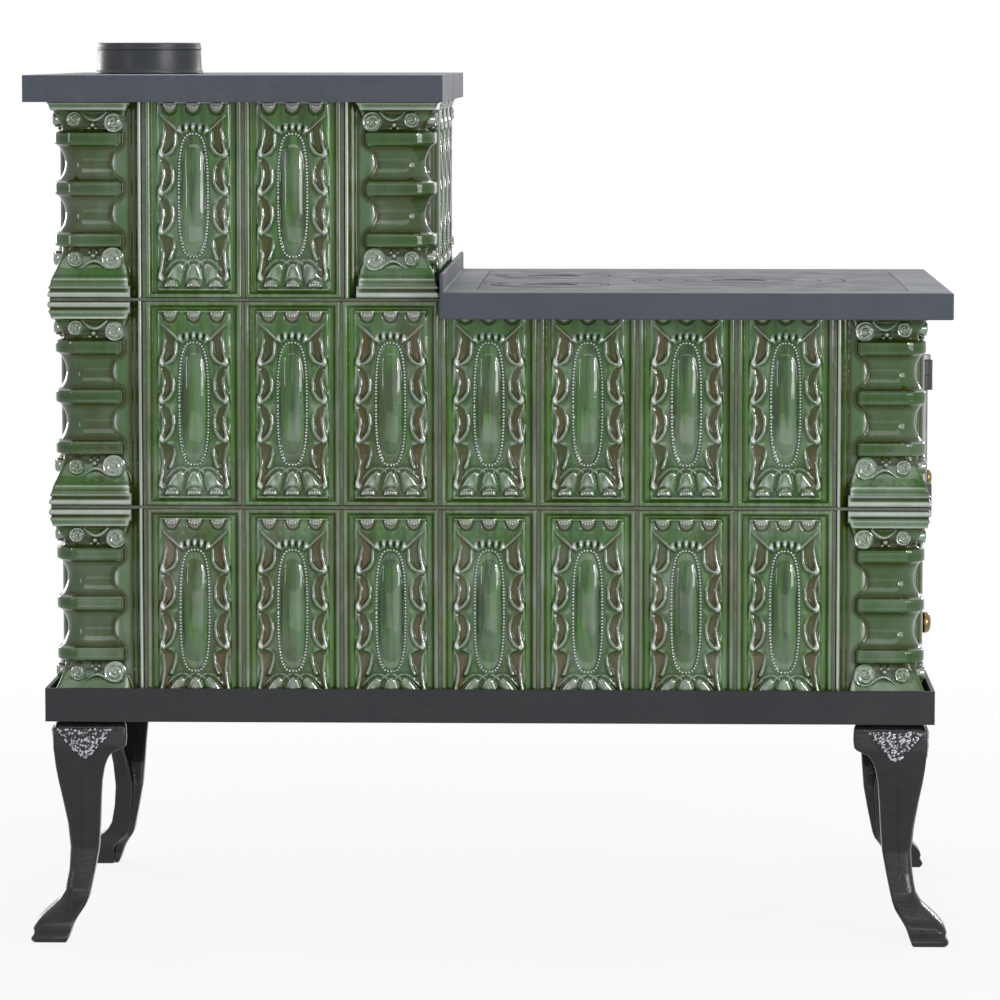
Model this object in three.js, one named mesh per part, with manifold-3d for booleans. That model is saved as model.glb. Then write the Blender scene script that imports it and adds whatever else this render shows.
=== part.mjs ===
// Tiled stove on cabriole legs: a low hob part and a raised heating part, faced with glazed relief tiles.
// Millimetres, +Z up. The long tiled face looks towards -Y, the doors are in the end that looks towards +X.
// The origin is on the floor, under the middle of the body.
import * as THREE from "three";
import { mergeVertices } from "three/addons/utils/BufferGeometryUtils.js";
import Module from "manifold-3d";

const wasm = await Module();
wasm.setup();

// ---------------------------------------------------------------- driving dimensions
const tilePitch = 105; // width of a tile and its joint
const rowPitch = 222.5; // height of a tile and its joint
const joint = 3;
const tilesLong = 9; // along the whole body, corners included
const tilesDeep = 5;
const tilesRaised = 4; // along the raised part
const wallDepth = 44; // from the outermost moulding to the back of a tile
const legHeight = 238;
const sheet = 4; // thickness of the steel sheet work
const lipHeight = 36; // of the base tray
const endOverhang = 20; // of the top plates past the mouldings at the ends
const sideOverhang = 28.5; // and along the sides
const rimHeight = 28.5; // of both top plates
const gap = 0.3; // between pieces that touch
const doorRecess = 17; // of the cast door frame behind the end mouldings

const bodyX = (tilesLong * tilePitch) / 2;
const bodyY = (tilesDeep * tilePitch) / 2;
const raisedX = -bodyX + tilesRaised * tilePitch; // right end of the raised part
const tileWidth = tilePitch - joint;
const tileHeight = rowPitch - joint;
const bed = legHeight + 10; // underside of the lowest tiles
const hobTop = bed + 2 * rowPitch + 8;
const crownTop = bed + 3 * rowPitch + 15;

// depths below the outermost moulding, which is at 0
const rimDepth = 4;
const jointDepth = 7;
const fieldDepth = 10;
const panelDepth = 7;

// ---------------------------------------------------------------- small tools
function solidOf(geometry) {
  geometry.deleteAttribute("normal");
  geometry.deleteAttribute("uv");
  const merged = mergeVertices(geometry, 1e-3);
  return new wasm.Manifold(
    new wasm.Mesh({
      numProp: 3,
      vertProperties: merged.attributes.position.array,
      triVerts: new Uint32Array(merged.index.array),
    }),
  );
}

function geometryOf(solid) {
  const mesh = solid.getMesh();
  const geometry = new THREE.BufferGeometry();
  geometry.setAttribute("position", new THREE.BufferAttribute(mesh.vertProperties, 3));
  geometry.setIndex(new THREE.BufferAttribute(mesh.triVerts, 1));
  geometry.computeVertexNormals();
  return geometry;
}

function join(geometries) {
  return geometryOf(geometries.map(solidOf).reduce((a, b) => a.add(b)));
}

function cut(geometry, cutters) {
  return geometryOf(cutters.map(solidOf).reduce((a, b) => a.subtract(b), solidOf(geometry)));
}

// A block between two opposite corners.
function block(low, high) {
  const size = low.map((value, i) => high[i] - value);
  const middle = low.map((value, i) => (high[i] + value) / 2);
  return new THREE.BoxGeometry(...size).translate(...middle);
}

// A straight prism: an outline in X and Y, with holes, between two heights.
function prism(outline, low, high, holes = []) {
  const shape = new THREE.Shape(outline.map(([x, y]) => new THREE.Vector2(x, y)));
  for (const hole of holes) {
    shape.holes.push(new THREE.Path(hole.map(([x, y]) => new THREE.Vector2(x, y))));
  }
  return new THREE.ExtrudeGeometry(shape, { depth: high - low, bevelEnabled: false }).translate(0, 0, low);
}

function rectangle(x0, y0, x1, y1) {
  return [
    [x0, y0],
    [x1, y0],
    [x1, y1],
    [x0, y1],
  ];
}

// A closed skin through rings of equal count. Each ring is a list of points, anticlockwise seen from above.
function loft(rings) {
  const count = rings[0].length;
  const positions = rings.flat(2);
  const index = [];
  for (let level = 0; level + 1 < rings.length; level++) {
    for (let i = 0; i < count; i++) {
      const a = level * count + i;
      const b = level * count + ((i + 1) % count);
      index.push(a, b, b + count, a, b + count, a + count);
    }
  }
  const capOf = (ring) => {
    const outline = ring.map(([x, y]) => new THREE.Vector2(x, y));
    return THREE.ShapeUtils.triangulateShape(outline, []);
  };
  const last = (rings.length - 1) * count;
  for (const [a, b, c] of capOf(rings[0])) {
    index.push(a, c, b);
  }
  for (const [a, b, c] of capOf(rings[rings.length - 1])) {
    index.push(last + a, last + b, last + c);
  }
  const geometry = new THREE.BufferGeometry();
  geometry.setAttribute("position", new THREE.Float32BufferAttribute(positions, 3));
  geometry.setIndex(index);
  return geometry;
}

// A body turned about a vertical axis from a closed profile of [radius, height] points, anticlockwise.
function turned(profile, segments) {
  const points = [...profile, profile[0]].map(([r, z]) => new THREE.Vector2(r, z));
  return new THREE.LatheGeometry(points, segments).rotateX(Math.PI / 2);
}

// A round bar along Z, or along X where it lies.
function bar(radius, low, high, segments, lying = false) {
  const geometry = new THREE.CylinderGeometry(radius, radius, high - low, segments);
  const turn = lying ? geometry.rotateZ(-Math.PI / 2) : geometry.rotateX(Math.PI / 2);
  const middle = (low + high) / 2;
  return lying ? turn.translate(middle, 0, 0) : turn.translate(0, 0, middle);
}

// ---------------------------------------------------------------- finishes
function finish(colour, roughness, metalness) {
  return new THREE.MeshStandardMaterial({ color: new THREE.Color(...colour), roughness, metalness });
}

const glaze = finish([0.09, 0.2, 0.05], 0.12, 0);
const painted = finish([0.075, 0.08, 0.09], 0.45, 0.2);
const castIron = finish([0.045, 0.045, 0.05], 0.35, 0.6);
const hobIron = finish([0.09, 0.09, 0.1], 0.4, 0.7);
const fireclay = finish([0.6, 0.45, 0.3], 0.9, 0);
const steel = finish([0.35, 0.35, 0.36], 0.35, 0.9);
const brass = finish([0.7, 0.5, 0.2], 0.3, 1);

const stove = new THREE.Group();

function piece(name, geometry, material, parent = stove) {
  const mesh = new THREE.Mesh(geometry, material);
  mesh.name = name;
  parent.add(mesh);
  return mesh;
}

// ---------------------------------------------------------------- tiles
// The raised panel of a tile: straight top and bottom edges, sides drawn in between cusps.
function scallopedPanel() {
  const halfWidth = 40;
  const halfHeight = 101;
  const drawIn = 9;
  const right = [-1, -0.5, 0, 0.5, 1].map((share) => [
    halfWidth - (share % 1 ? drawIn : 0),
    halfHeight * share,
  ]);
  const left = right.map(([x, z]) => [-x, z]).reverse();
  return [...right, ...left];
}

// A flat relief standing on the wall: an outline in the wall's plane, between two depths below the moulding.
function relief(outline, deep, shallow, holes = []) {
  return prism(outline, -deep, -shallow, holes).rotateX(Math.PI / 2);
}

// The long oval boss in the middle of a tile.
function ovalBoss() {
  const sides = 8;
  const halfWidth = 17;
  const halfHeight = 67;
  const tiers = [
    [1, fieldDepth - 1],
    [0.6, 2.5],
  ];
  const rings = tiers.map(([share, depth]) =>
    Array.from({ length: sides }, (_, i) => {
      const angle = (i / sides) * 2 * Math.PI;
      return [halfWidth * share * Math.cos(angle), halfHeight * share * Math.sin(angle), -depth];
    }),
  );
  return loft(rings).rotateX(Math.PI / 2);
}

// A course of tiles with its joints, from x = 0 to the right, its moulding plane at y = 0.
function courseOfTiles(count) {
  const length = count * tilePitch - joint;
  const parts = [block([0, fieldDepth, 0], [length, wallDepth, tileHeight])];
  const rimWidth = 5;
  const outer = rectangle(0, 0, tileWidth, tileHeight);
  const inner = rectangle(rimWidth, rimWidth, tileWidth - rimWidth, tileHeight - rimWidth);
  for (let i = 0; i < count; i++) {
    const start = i * tilePitch;
    parts.push(relief(outer, fieldDepth + 1, rimDepth, [inner]).translate(start, 0, 0));
    const centre = [start + tileWidth / 2, 0, tileHeight / 2];
    parts.push(relief(scallopedPanel(), fieldDepth + 1, panelDepth).translate(...centre));
    parts.push(ovalBoss().translate(...centre));
    if (i) {
      parts.push(block([start - joint - 0.5, jointDepth, 0], [start + 0.5, fieldDepth + 1, tileHeight]));
    }
  }
  return join(parts);
}

// A corner piece: a baluster of three rings between two flared capitals, round the corner at the origin.
// Each level is [height, depth of the baluster's faces, how far it reaches from the corner, rounding].
function cornerPiece() {
  const baseDepth = 13;
  const ring = [6, 78, 28];
  const neck = [16, 69, 24];
  const levels = [
    [0, 1, 90, 3],
    [12, 0, 90, 3],
    [44, 15, 78, 5],
    [49, ...ring],
    [63, ...ring],
    [83, ...neck],
    [102, ...ring],
    [118, ...ring],
    [138, ...neck],
    [156, ...ring],
    [172, ...ring],
    [177, 15, 78, 5],
    [207, 0, 90, 3],
    [tileHeight, 1, 90, 3],
  ];
  const rings = levels.map(([height, depth, reach, rounding]) => {
    const half = [
      [tileWidth, rimDepth + 1],
      [tileWidth - 7, baseDepth],
      [reach, Math.min(depth + 2, baseDepth + 4)],
      [depth + rounding, depth],
    ];
    const nose = depth + rounding * (1 - Math.SQRT1_2);
    const otherHalf = half.map(([along, across]) => [across, along]).reverse();
    const inside = [
      [wallDepth, tileWidth],
      [wallDepth, wallDepth],
      [tileWidth, wallDepth],
    ];
    const outline = [...half, [nose, nose], ...otherHalf, ...inside];
    return outline.reverse().map(([x, y]) => [x, y, height]);
  });
  return loft(rings);
}

const quarter = Math.PI / 2;
const cornerShape = cornerPiece();
const rows = ["lower", "middle", "upper"];

// The four sides: name, turn, and the place of the left end of the wall seen from outside.
function sidesOf(right) {
  return [
    ["front", 0, -bodyX, -bodyY, right + bodyX],
    ["right", 1, right, -bodyY, 2 * bodyY],
    ["back", 2, right, bodyY, right + bodyX],
    ["left", 3, -bodyX, bodyY, 2 * bodyY],
  ];
}

const cornerNames = ["front_left", "front_right", "back_right", "back_left"];

rows.forEach((row, level) => {
  const right = row === "upper" ? raisedX : bodyX;
  const height = bed + level * rowPitch;
  sidesOf(right).forEach(([side, turns, x, y, length], i) => {
    const corner = piece(`corner_tile_${row}_${cornerNames[i]}`, cornerShape, glaze);
    corner.position.set(x, y, height);
    corner.rotation.z = turns * quarter;
    const count = Math.round(length / tilePitch) - 2;
    if (side === "right" && row !== "upper") {
      return; // the cast iron door frame stands here
    }
    const wall = new THREE.Group();
    wall.position.set(x, y, height);
    wall.rotation.z = turns * quarter;
    stove.add(wall);
    const course = piece(`${side}_tile_course_${row}`, courseOfTiles(count), glaze, wall);
    course.position.x = tilePitch + joint / 2; // the same joint to the corner piece at either end
  });
});

// ---------------------------------------------------------------- base tray and legs
const trayX = bodyX + sheet + 0.5;
const trayY = bodyY + sheet + 0.5;
const kneeX = trayX - 7; // outer faces of the legs' knees
const kneeY = trayY - 7;
const boltInset = 36; // of the leg bolts from those faces
const boltRadius = 5;

function atFourCorners(make) {
  const places = [
    [-kneeX, -kneeY],
    [kneeX, -kneeY],
    [kneeX, kneeY],
    [-kneeX, kneeY],
  ];
  return places.map(([x, y], i) => make(x, y, i));
}

function trayShape() {
  const shell = join([
    prism(rectangle(-trayX, -trayY, trayX, trayY), legHeight, legHeight + sheet),
    prism(rectangle(-trayX, -trayY, trayX, trayY), legHeight, legHeight + lipHeight, [
      rectangle(-trayX + sheet, -trayY + sheet, trayX - sheet, trayY - sheet),
    ]),
  ]);
  const holes = atFourCorners((x, y) =>
    bar(boltRadius + 0.6, legHeight - 2, legHeight + sheet + 2, 10).translate(
      x - Math.sign(x) * boltInset,
      y - Math.sign(y) * boltInset,
      0,
    ),
  );
  return cut(shell, holes);
}

piece("base_tray", trayShape(), painted);

// A cabriole leg of angle section round the corner at the origin.
// Each level is [height, outer face, inner edge of the wings, thickness of the wings].
function legShape() {
  const levels = [
    [0, -21, 16, 30],
    [4, -23.5, 17, 32],
    [10, -20, 19.5, 32],
    [21, -16, 23.5, 32],
    [29, -11, 28.5, 32],
    [36, -3.5, 34, 31],
    [43, 6.5, 36.5, 25],
    [53, 11, 38.5, 22],
    [73, 14.5, 43, 20],
    [97, 16, 47, 20],
    [123, 13.5, 49, 18],
    [165, 5.5, 51.5, 14],
    [188, 2, 55, 12],
    [205, 0, 63, 12],
    [212, 0, 78, 12],
    [226, 0, 79.5, 12],
    [legHeight - gap, 5, 77, 12],
  ];
  const chamfer = 5;
  const rings = levels.map(([height, out, inner, thick]) =>
    [
      [out + chamfer, out],
      [inner, out],
      [inner, out + thick],
      [out + thick, out + thick],
      [out + thick, inner],
      [out, inner],
      [out, out + chamfer],
    ].map(([x, y]) => [x, y, height]),
  );
  const pad = block([8, 8, legHeight - 10], [62, 62, legHeight - gap]);
  const hole = bar(boltRadius + 0.6, legHeight - 12, legHeight + 2, 10).translate(boltInset, boltInset, 0);
  return cut(join([loft(rings), pad]), [hole]);
}

function boltShape() {
  const head = bar(9, legHeight - 17, legHeight - 10 - gap, 6);
  const shank = bar(boltRadius, legHeight - 12, legHeight + sheet - gap, 10);
  return join([head, shank]).translate(boltInset, boltInset, 0);
}

const legGeometry = legShape();
const boltGeometry = boltShape();
atFourCorners((x, y, i) => {
  const station = new THREE.Group();
  station.position.set(x, y, 0);
  station.rotation.z = i * quarter;
  stove.add(station);
  piece(`leg_${cornerNames[i]}`, legGeometry, castIron, station);
  piece(`leg_bolt_${cornerNames[i]}`, boltGeometry, steel, station);
});

// ---------------------------------------------------------------- masonry inside
const innerX = bodyX - wallDepth - gap;
const innerY = bodyY - wallDepth - gap;
const hearthTop = legHeight + 44;
const frameFace = bodyX - doorRecess; // front of the cast iron door frame
const doorBack = frameFace - 8;
const doorHalf = 1.5 * tilePitch - 2; // half width of the door frame
const liningDepth = 30;
const liningTop = bed + 2 * rowPitch - joint;
const fireLeft = 133;
const fireRight = 398;
const fireY = innerY - liningDepth;
const grateZ = 396;

const fireOpening = { halfWidth: 95, low: 432, high: 640 };
const ashOpening = { halfWidth: 102, low: hearthTop - 2, high: 380 };

piece(
  "hearth_slab",
  join([
    block([-bodyX + 1, -bodyY + 1, legHeight + sheet + gap], [bodyX - 1, bodyY - 1, bed - gap]),
    block([-innerX, -innerY, bed - 1], [innerX, innerY, hearthTop]),
    block([innerX - 1, -doorHalf + 1, bed - 1], [doorBack - gap, doorHalf - 1, hearthTop]),
  ]),
  fireclay,
);

for (const [name, side] of [
  ["front", -1],
  ["back", 1],
]) {
  const between = (near, far) => (side < 0 ? [-far, -near] : [near, far]);
  const [lining0, lining1] = between(fireY + gap, innerY);
  piece(
    `firebox_lining_${name}`,
    block([fireLeft - 35, lining0, hearthTop + gap], [innerX, lining1, liningTop]),
    fireclay,
  );
  const [ledge0, ledge1] = between(108, fireY);
  piece(
    `grate_ledge_${name}`,
    block([fireLeft + gap, ledge0, hearthTop + gap], [fireRight - gap, ledge1, grateZ]),
    fireclay,
  );
}

piece("firebox_bridge", block([fireLeft - 35, -fireY, hearthTop + gap], [fireLeft, fireY, 640]), fireclay);

piece(
  "door_surround",
  cut(
    join([
      block([fireRight, -fireY, hearthTop + gap], [innerX, fireY, liningTop]),
      block([innerX - 1, -doorHalf + 1, hearthTop + gap], [doorBack - gap, doorHalf - 1, liningTop]),
    ]),
    [
      block([fireRight - 5, -100, fireOpening.low - 6], [doorBack + 5, 100, fireOpening.high + 6]),
      block([fireRight - 5, -106, hearthTop - 5], [doorBack + 5, 106, ashOpening.high + 8]),
      block([doorBack - 22, 90, 495], [doorBack + 5, 120, 577]), // room for the latch tongue
    ],
  ),
  fireclay,
);

function grateShape() {
  const cutters = [];
  const slotPitch = 25;
  for (let x = fireLeft + 22; x < fireRight - 30; x += slotPitch) {
    cutters.push(block([x, -92, grateZ - 5], [x + 11, 92, grateZ + 25]));
  }
  return cut(block([fireLeft + 8, -128, grateZ + gap], [fireRight - 8, 128, grateZ + 18]), cutters);
}

piece("grate", grateShape(), castIron);

// The wall under the raised part's right side, with the throat that the smoke passes below the hob.
piece(
  "partition_wall",
  cut(block([raisedX - 44, -innerY, hearthTop + gap], [raisedX - 6, innerY, liningTop]), [
    block([raisedX - 50, -130, 590], [raisedX, 130, 660]),
  ]),
  fireclay,
);

piece(
  "down_draught_baffle",
  block([-285, -innerY, hearthTop + 110], [-255, innerY, crownTop - 20]),
  fireclay,
);

// ---------------------------------------------------------------- raised part's cover and flue collar
const collarX = -387;
const collarRadius = 59;
const crown = { left: -bodyX - endOverhang - 1, right: raisedX + 4.5, half: bodyY + sideOverhang };

function crownShape() {
  const { left, right, half } = crown;
  const outline = rectangle(left, -half, right, half);
  const inside = rectangle(left + sheet, -half + sheet, right - sheet, half - sheet);
  const bearing = rectangle(-bodyX + 8, -bodyY + 8, raisedX - 8, bodyY - 8);
  const bearingInside = rectangle(-bodyX + 30, -bodyY + 30, raisedX - 30, bodyY - 30);
  const tileTop = bed + 3 * rowPitch - joint;
  const shell = join([
    prism(outline, crownTop - 5, crownTop),
    prism(outline, crownTop - rimHeight, crownTop, [inside]),
    prism(bearing, tileTop + gap, crownTop - 4, [bearingInside]),
  ]);
  return cut(shell, [bar(54, crownTop - 10, crownTop + 5, 24).translate(collarX, 0, 0)]);
}

piece("crown_plate", crownShape(), painted);

piece(
  "flue_collar",
  turned(
    [
      [49, crownTop - 9],
      [53, crownTop - 9],
      [53, crownTop + gap],
      [collarRadius + 1, crownTop + gap],
      [collarRadius - 0.5, crownTop + 4],
      [collarRadius - 2, crownTop + 34.5],
      [collarRadius - 6, crownTop + 34.5],
      [collarRadius - 10, crownTop + 4],
    ],
    24,
  ).translate(collarX, 0, 0),
  painted,
);

// ---------------------------------------------------------------- hob
const hob = { left: raisedX + 0.8, right: bodyX + endOverhang, half: bodyY + sideOverhang };
const castPlate = { left: -14.5, right: 447, half: 237.5, low: hobTop - 7.2 };
const ledge = 12; // that the cast plate rests on
const bigBurner = { x: 271, y: 0, radius: 118 };
const smallBurners = [
  { name: "front", x: 62, y: -105, radius: 65 },
  { name: "back", x: 62, y: 105, radius: 65 },
];
const stepZ = hobTop - 3.8; // level of the ledges that rings and lids rest on
const roundSides = 24;

function hobFrameShape() {
  const pocket = rectangle(
    castPlate.left - 0.5,
    -castPlate.half - 0.5,
    castPlate.right + 0.5,
    castPlate.half + 0.5,
  );
  const well = rectangle(
    castPlate.left + ledge,
    -castPlate.half + ledge,
    castPlate.right - ledge,
    castPlate.half - ledge,
  );
  const aroundPocket = rectangle(
    castPlate.left - 4,
    -castPlate.half - 4,
    castPlate.right + 4,
    castPlate.half + 4,
  );
  const outline = rectangle(hob.left, -hob.half, hob.right, hob.half);
  const inside = rectangle(hob.left - 1, -hob.half + sheet, hob.right - sheet, hob.half - sheet);
  const rim = cut(prism(outline, hobTop - rimHeight, hobTop), [prism(inside, hobTop - 40, hobTop - 4)]);
  return join([
    cut(rim, [prism(pocket, hobTop - 10, hobTop + 5)]),
    prism(aroundPocket, castPlate.low - 3.2, hobTop, [pocket]),
    prism(aroundPocket, castPlate.low - 3.2, castPlate.low - gap, [well]),
    block([hob.left, -hob.half, hobTop - 4], [hob.left + sheet, hob.half, hobTop + 20]), // upstand
  ]);
}

piece("hob_frame", hobFrameShape(), painted);

function hobPlateShape() {
  const cutters = [bigBurner, ...smallBurners].flatMap(({ x, y, radius }) => [
    bar(radius, stepZ, hobTop + 5, roundSides).translate(x, y, 0),
    bar(radius - 6, castPlate.low - 5, hobTop + 5, roundSides).translate(x, y, 0),
  ]);
  const outline = rectangle(castPlate.left, -castPlate.half, castPlate.right, castPlate.half);
  return cut(prism(outline, castPlate.low, hobTop), cutters);
}

piece("hob_plate", hobPlateShape(), hobIron);

// A ring that rests on the step round it and carries the next piece on a step of its own.
function burnerRing(outerRadius, innerRadius) {
  const outer = outerRadius - 0.8;
  return turned(
    [
      [innerRadius - 6, castPlate.low],
      [outer - 6, castPlate.low],
      [outer - 6, stepZ + gap],
      [outer, stepZ + gap],
      [outer, hobTop],
      [innerRadius, hobTop],
      [innerRadius, stepZ],
      [innerRadius - 6, stepZ],
    ],
    roundSides,
  ).translate(bigBurner.x, bigBurner.y, 0);
}

// A lid with a shallow dish in the middle and a slot for the lifter.
function burnerLid(radius, x, y) {
  const outer = radius - 0.8;
  const dish = 31;
  const disc = turned(
    [
      [0, castPlate.low],
      [outer - 6, castPlate.low],
      [outer - 6, stepZ + gap],
      [outer, stepZ + gap],
      [outer, hobTop],
      [dish, hobTop],
      [dish - 3, hobTop - 1.5],
      [0, hobTop - 1.5],
    ],
    roundSides,
  );
  return cut(disc, [block([-14, -4, hobTop - 5], [14, 4, hobTop + 5])]).translate(x, y, 0);
}

const innerRingRadius = 90;
const lidRadius = 60;
piece("burner_ring_outer", burnerRing(bigBurner.radius, innerRingRadius), hobIron);
piece("burner_ring_inner", burnerRing(innerRingRadius, lidRadius), hobIron);
piece("burner_lid", burnerLid(lidRadius, bigBurner.x, bigBurner.y), hobIron);
for (const { name, x, y, radius } of smallBurners) {
  piece(`small_lid_${name}`, burnerLid(radius, x, y), hobIron);
}

// ---------------------------------------------------------------- fire door
const leafBack = frameFace + 2;
const leafFront = leafBack + 8;
const hinge = { x: frameFace + 15.5, y: -120, eye: 9, pin: 3.9, bore: 4.5 };
const knuckle = 16; // height of a hinge knuckle
const frameKnuckles = [452, 604];
const latch = { y: 84, z: 536, spindle: 4, bore: 4.6, arm: 62 };

function yzBlock(x0, x1, halfWidth, low, high) {
  return block([x0, -halfWidth, low], [x1, halfWidth, high]);
}

function knuckleShape(low, arm) {
  const eye = bar(hinge.eye, low, low + knuckle, 16).translate(hinge.x, hinge.y, 0);
  const bore = bar(hinge.bore, low - 2, low + knuckle + 2, 16).translate(hinge.x, hinge.y, 0);
  return cut(join([eye, arm]), [bore]);
}

function doorFrameShape() {
  const plate = cut(yzBlock(doorBack, frameFace, doorHalf, bed + 1, liningTop - 1), [
    yzBlock(doorBack - 5, frameFace + 5, fireOpening.halfWidth, fireOpening.low, fireOpening.high),
    yzBlock(doorBack - 5, frameFace + 5, ashOpening.halfWidth, ashOpening.low, ashOpening.high),
  ]);
  const bead = { near: doorHalf - 10, far: doorHalf - 2, height: 2.5 };
  const beads = [-1, 1].map((side) => {
    const edges = [side * bead.near, side * bead.far].sort((a, b) => a - b);
    return block([frameFace - 1, edges[0], bed + 30], [frameFace + bead.height, edges[1], liningTop - 22]);
  });
  const knuckles = frameKnuckles.map((low) =>
    knuckleShape(
      low,
      block([frameFace - 1, hinge.y - hinge.eye, low], [hinge.x, hinge.y + hinge.eye, low + knuckle]),
    ),
  );
  return join([plate, ...beads, ...knuckles]);
}

piece("door_frame", doorFrameShape(), castIron);

const leafHalf = 108;
const leafLap = 14; // of the fire door's leaf over its opening
const rimBand = 8;
const relieved = 3; // height of the leaf's rim and panel

function fireDoorShape() {
  const low = fireOpening.low - leafLap;
  const high = fireOpening.high + leafLap;
  const leaf = yzBlock(leafBack, leafFront, leafHalf, low, high);
  const rimBlock = yzBlock(leafFront - 1, leafFront + relieved, leafHalf, low, high);
  const insideRim = yzBlock(leafFront - 3, leafFront + 6, leafHalf - rimBand, low + rimBand, high - rimBand);
  const rim = cut(rimBlock, [insideRim]);
  const panel = yzBlock(leafFront - 1, leafFront + relieved, 62, low + 52, high - 52);
  const knuckleLows = [frameKnuckles[0] + knuckle + 0.5, frameKnuckles[1] - knuckle - 0.5];
  const knuckles = knuckleLows.map((low) =>
    knuckleShape(low, block([leafFront - 2, hinge.y, low], [hinge.x + 5, -leafHalf + 12, low + knuckle])),
  );
  return cut(join([leaf, rim, panel, ...knuckles]), [
    bar(latch.bore, leafBack - 5, leafFront + 10, 12, true).translate(0, latch.y, latch.z),
  ]);
}

piece("fire_door", fireDoorShape(), castIron);

piece(
  "fire_door_heat_shield",
  join([
    yzBlock(doorBack - 2, doorBack + 2, 72, fireOpening.low + 16, fireOpening.high - 16),
    ...[-1, 1].map((side) =>
      bar(7, doorBack + 1, leafBack - gap, 10, true).translate(0, 0, 536 + side * 60),
    ),
  ]),
  castIron,
);

piece(
  "fire_door_hinge_pin",
  join([
    bar(hinge.pin, frameKnuckles[0] - 4, frameKnuckles[1] + knuckle + 2, 16),
    bar(7, frameKnuckles[1] + knuckle + gap, frameKnuckles[1] + knuckle + 6, 16),
  ]).translate(hinge.x, hinge.y, 0),
  steel,
);

const tongueBack = doorBack - 10;
piece(
  "latch_lever",
  join([
    bar(latch.spindle, tongueBack, leafFront + 10, 12, true),
    bar(9, leafFront + gap, leafFront + 11, 12, true),
    block([leafFront + 3.5, -5, -latch.arm - 6], [leafFront + 11, 5, 4]),
    block([tongueBack, -5, -28], [tongueBack + 8, 5, 5]),
  ]).translate(0, latch.y, latch.z),
  castIron,
);

// A turned knob along X, from its foot to its end.
function knobShape(start, end, radius) {
  const length = end - start;
  const profile = [
    [0, 0],
    [radius * 0.55, 0],
    [radius * 0.45, length * 0.25],
    [radius * 0.85, length * 0.45],
    [radius, length * 0.7],
    [radius * 0.75, length * 0.93],
    [radius * 0.3, length],
    [0, length],
  ];
  return turned(profile, 12).rotateY(quarter).translate(start, 0, 0);
}

piece(
  "latch_grip",
  knobShape(leafFront + 11 + gap, leafFront + 26, 9).translate(0, latch.y, latch.z - latch.arm),
  brass,
);

// ---------------------------------------------------------------- ash drawer
const pan = { left: 150, half: 98, low: hearthTop + 2 * gap, high: 372, wall: 2 };
const drawerHalf = 112;
const drawer = { low: legHeight + lipHeight + 2.5, high: 393 };
const slots = { count: 5, pitch: 28, width: 13, low: 356, high: 370 };
const slider = { half: 70, low: 351, high: 375, back: leafFront + 0.4, front: leafFront + 3.2, travel: 14 };

function slotCutters(back, front, shift) {
  return Array.from({ length: slots.count }, (_, i) => {
    const middle = (i - (slots.count - 1) / 2) * slots.pitch + shift;
    const half = slots.width / 2;
    return block([back, middle - half, slots.low], [front, middle + half, slots.high]);
  });
}

function drawerFrontShape() {
  const plate = yzBlock(leafBack, leafFront, drawerHalf, drawer.low, drawer.high);
  const rails = [
    [slider.low - 5, slider.low - 0.5, slider.low + 2],
    [slider.high + 0.5, slider.high + 5, slider.high - 2],
  ].flatMap(([low, high, lip]) => [
    yzBlock(leafFront - 1, slider.front + 3, 92, low, high),
    yzBlock(slider.front + 0.6, slider.front + 3, 92, Math.min(low, lip), Math.max(high, lip)),
  ]);
  return cut(join([plate, ...rails]), slotCutters(leafBack - 5, leafFront + 0.1, 0));
}

piece("ash_drawer_front", drawerFrontShape(), castIron);

function ashPanShape() {
  const right = leafBack - gap;
  const { left, half, low, high, wall } = pan;
  const inside = yzBlock(left + wall, right - wall, half - wall, low + wall, high + 5);
  return cut(yzBlock(left, right, half, low, high), [inside]);
}

piece("ash_pan", ashPanShape(), steel);

piece("ash_drawer_knob", knobShape(leafFront + gap, leafFront + 21.5, 12).translate(0, 0, 318), brass);

piece(
  "air_slider",
  cut(
    join([
      yzBlock(slider.back, slider.front, slider.half + 7, slider.low, slider.high),
      block([slider.front - 1, -3.5, slider.low + 4], [slider.front + 8, 3.5, slider.high - 4]),
    ]),
    slotCutters(slider.back - 2, slider.front + 1, slider.travel).filter((_, i) => i < slots.count - 1),
  ),
  steel,
);

export default stove;
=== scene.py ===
import math
import random

import bpy
import numpy as np
from mathutils import Matrix, Vector
from mathutils.geometry import tessellate_polygon


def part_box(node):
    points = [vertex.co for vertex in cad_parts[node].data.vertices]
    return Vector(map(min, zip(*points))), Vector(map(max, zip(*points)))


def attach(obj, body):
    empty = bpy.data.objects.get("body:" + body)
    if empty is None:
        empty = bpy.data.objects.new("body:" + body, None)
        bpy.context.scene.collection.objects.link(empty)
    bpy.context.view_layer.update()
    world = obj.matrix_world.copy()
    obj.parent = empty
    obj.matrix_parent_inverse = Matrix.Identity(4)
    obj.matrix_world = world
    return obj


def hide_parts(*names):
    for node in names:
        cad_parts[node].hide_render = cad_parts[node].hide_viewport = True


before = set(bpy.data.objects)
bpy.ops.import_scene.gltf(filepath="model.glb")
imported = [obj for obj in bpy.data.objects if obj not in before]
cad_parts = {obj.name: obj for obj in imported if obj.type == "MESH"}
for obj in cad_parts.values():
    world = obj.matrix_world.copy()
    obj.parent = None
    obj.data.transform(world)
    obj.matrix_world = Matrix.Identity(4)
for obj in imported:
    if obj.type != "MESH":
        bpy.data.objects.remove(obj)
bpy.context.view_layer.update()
mm = 0.001
chance = random.Random(7)
print("frame loaded")


# Meshes

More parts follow.
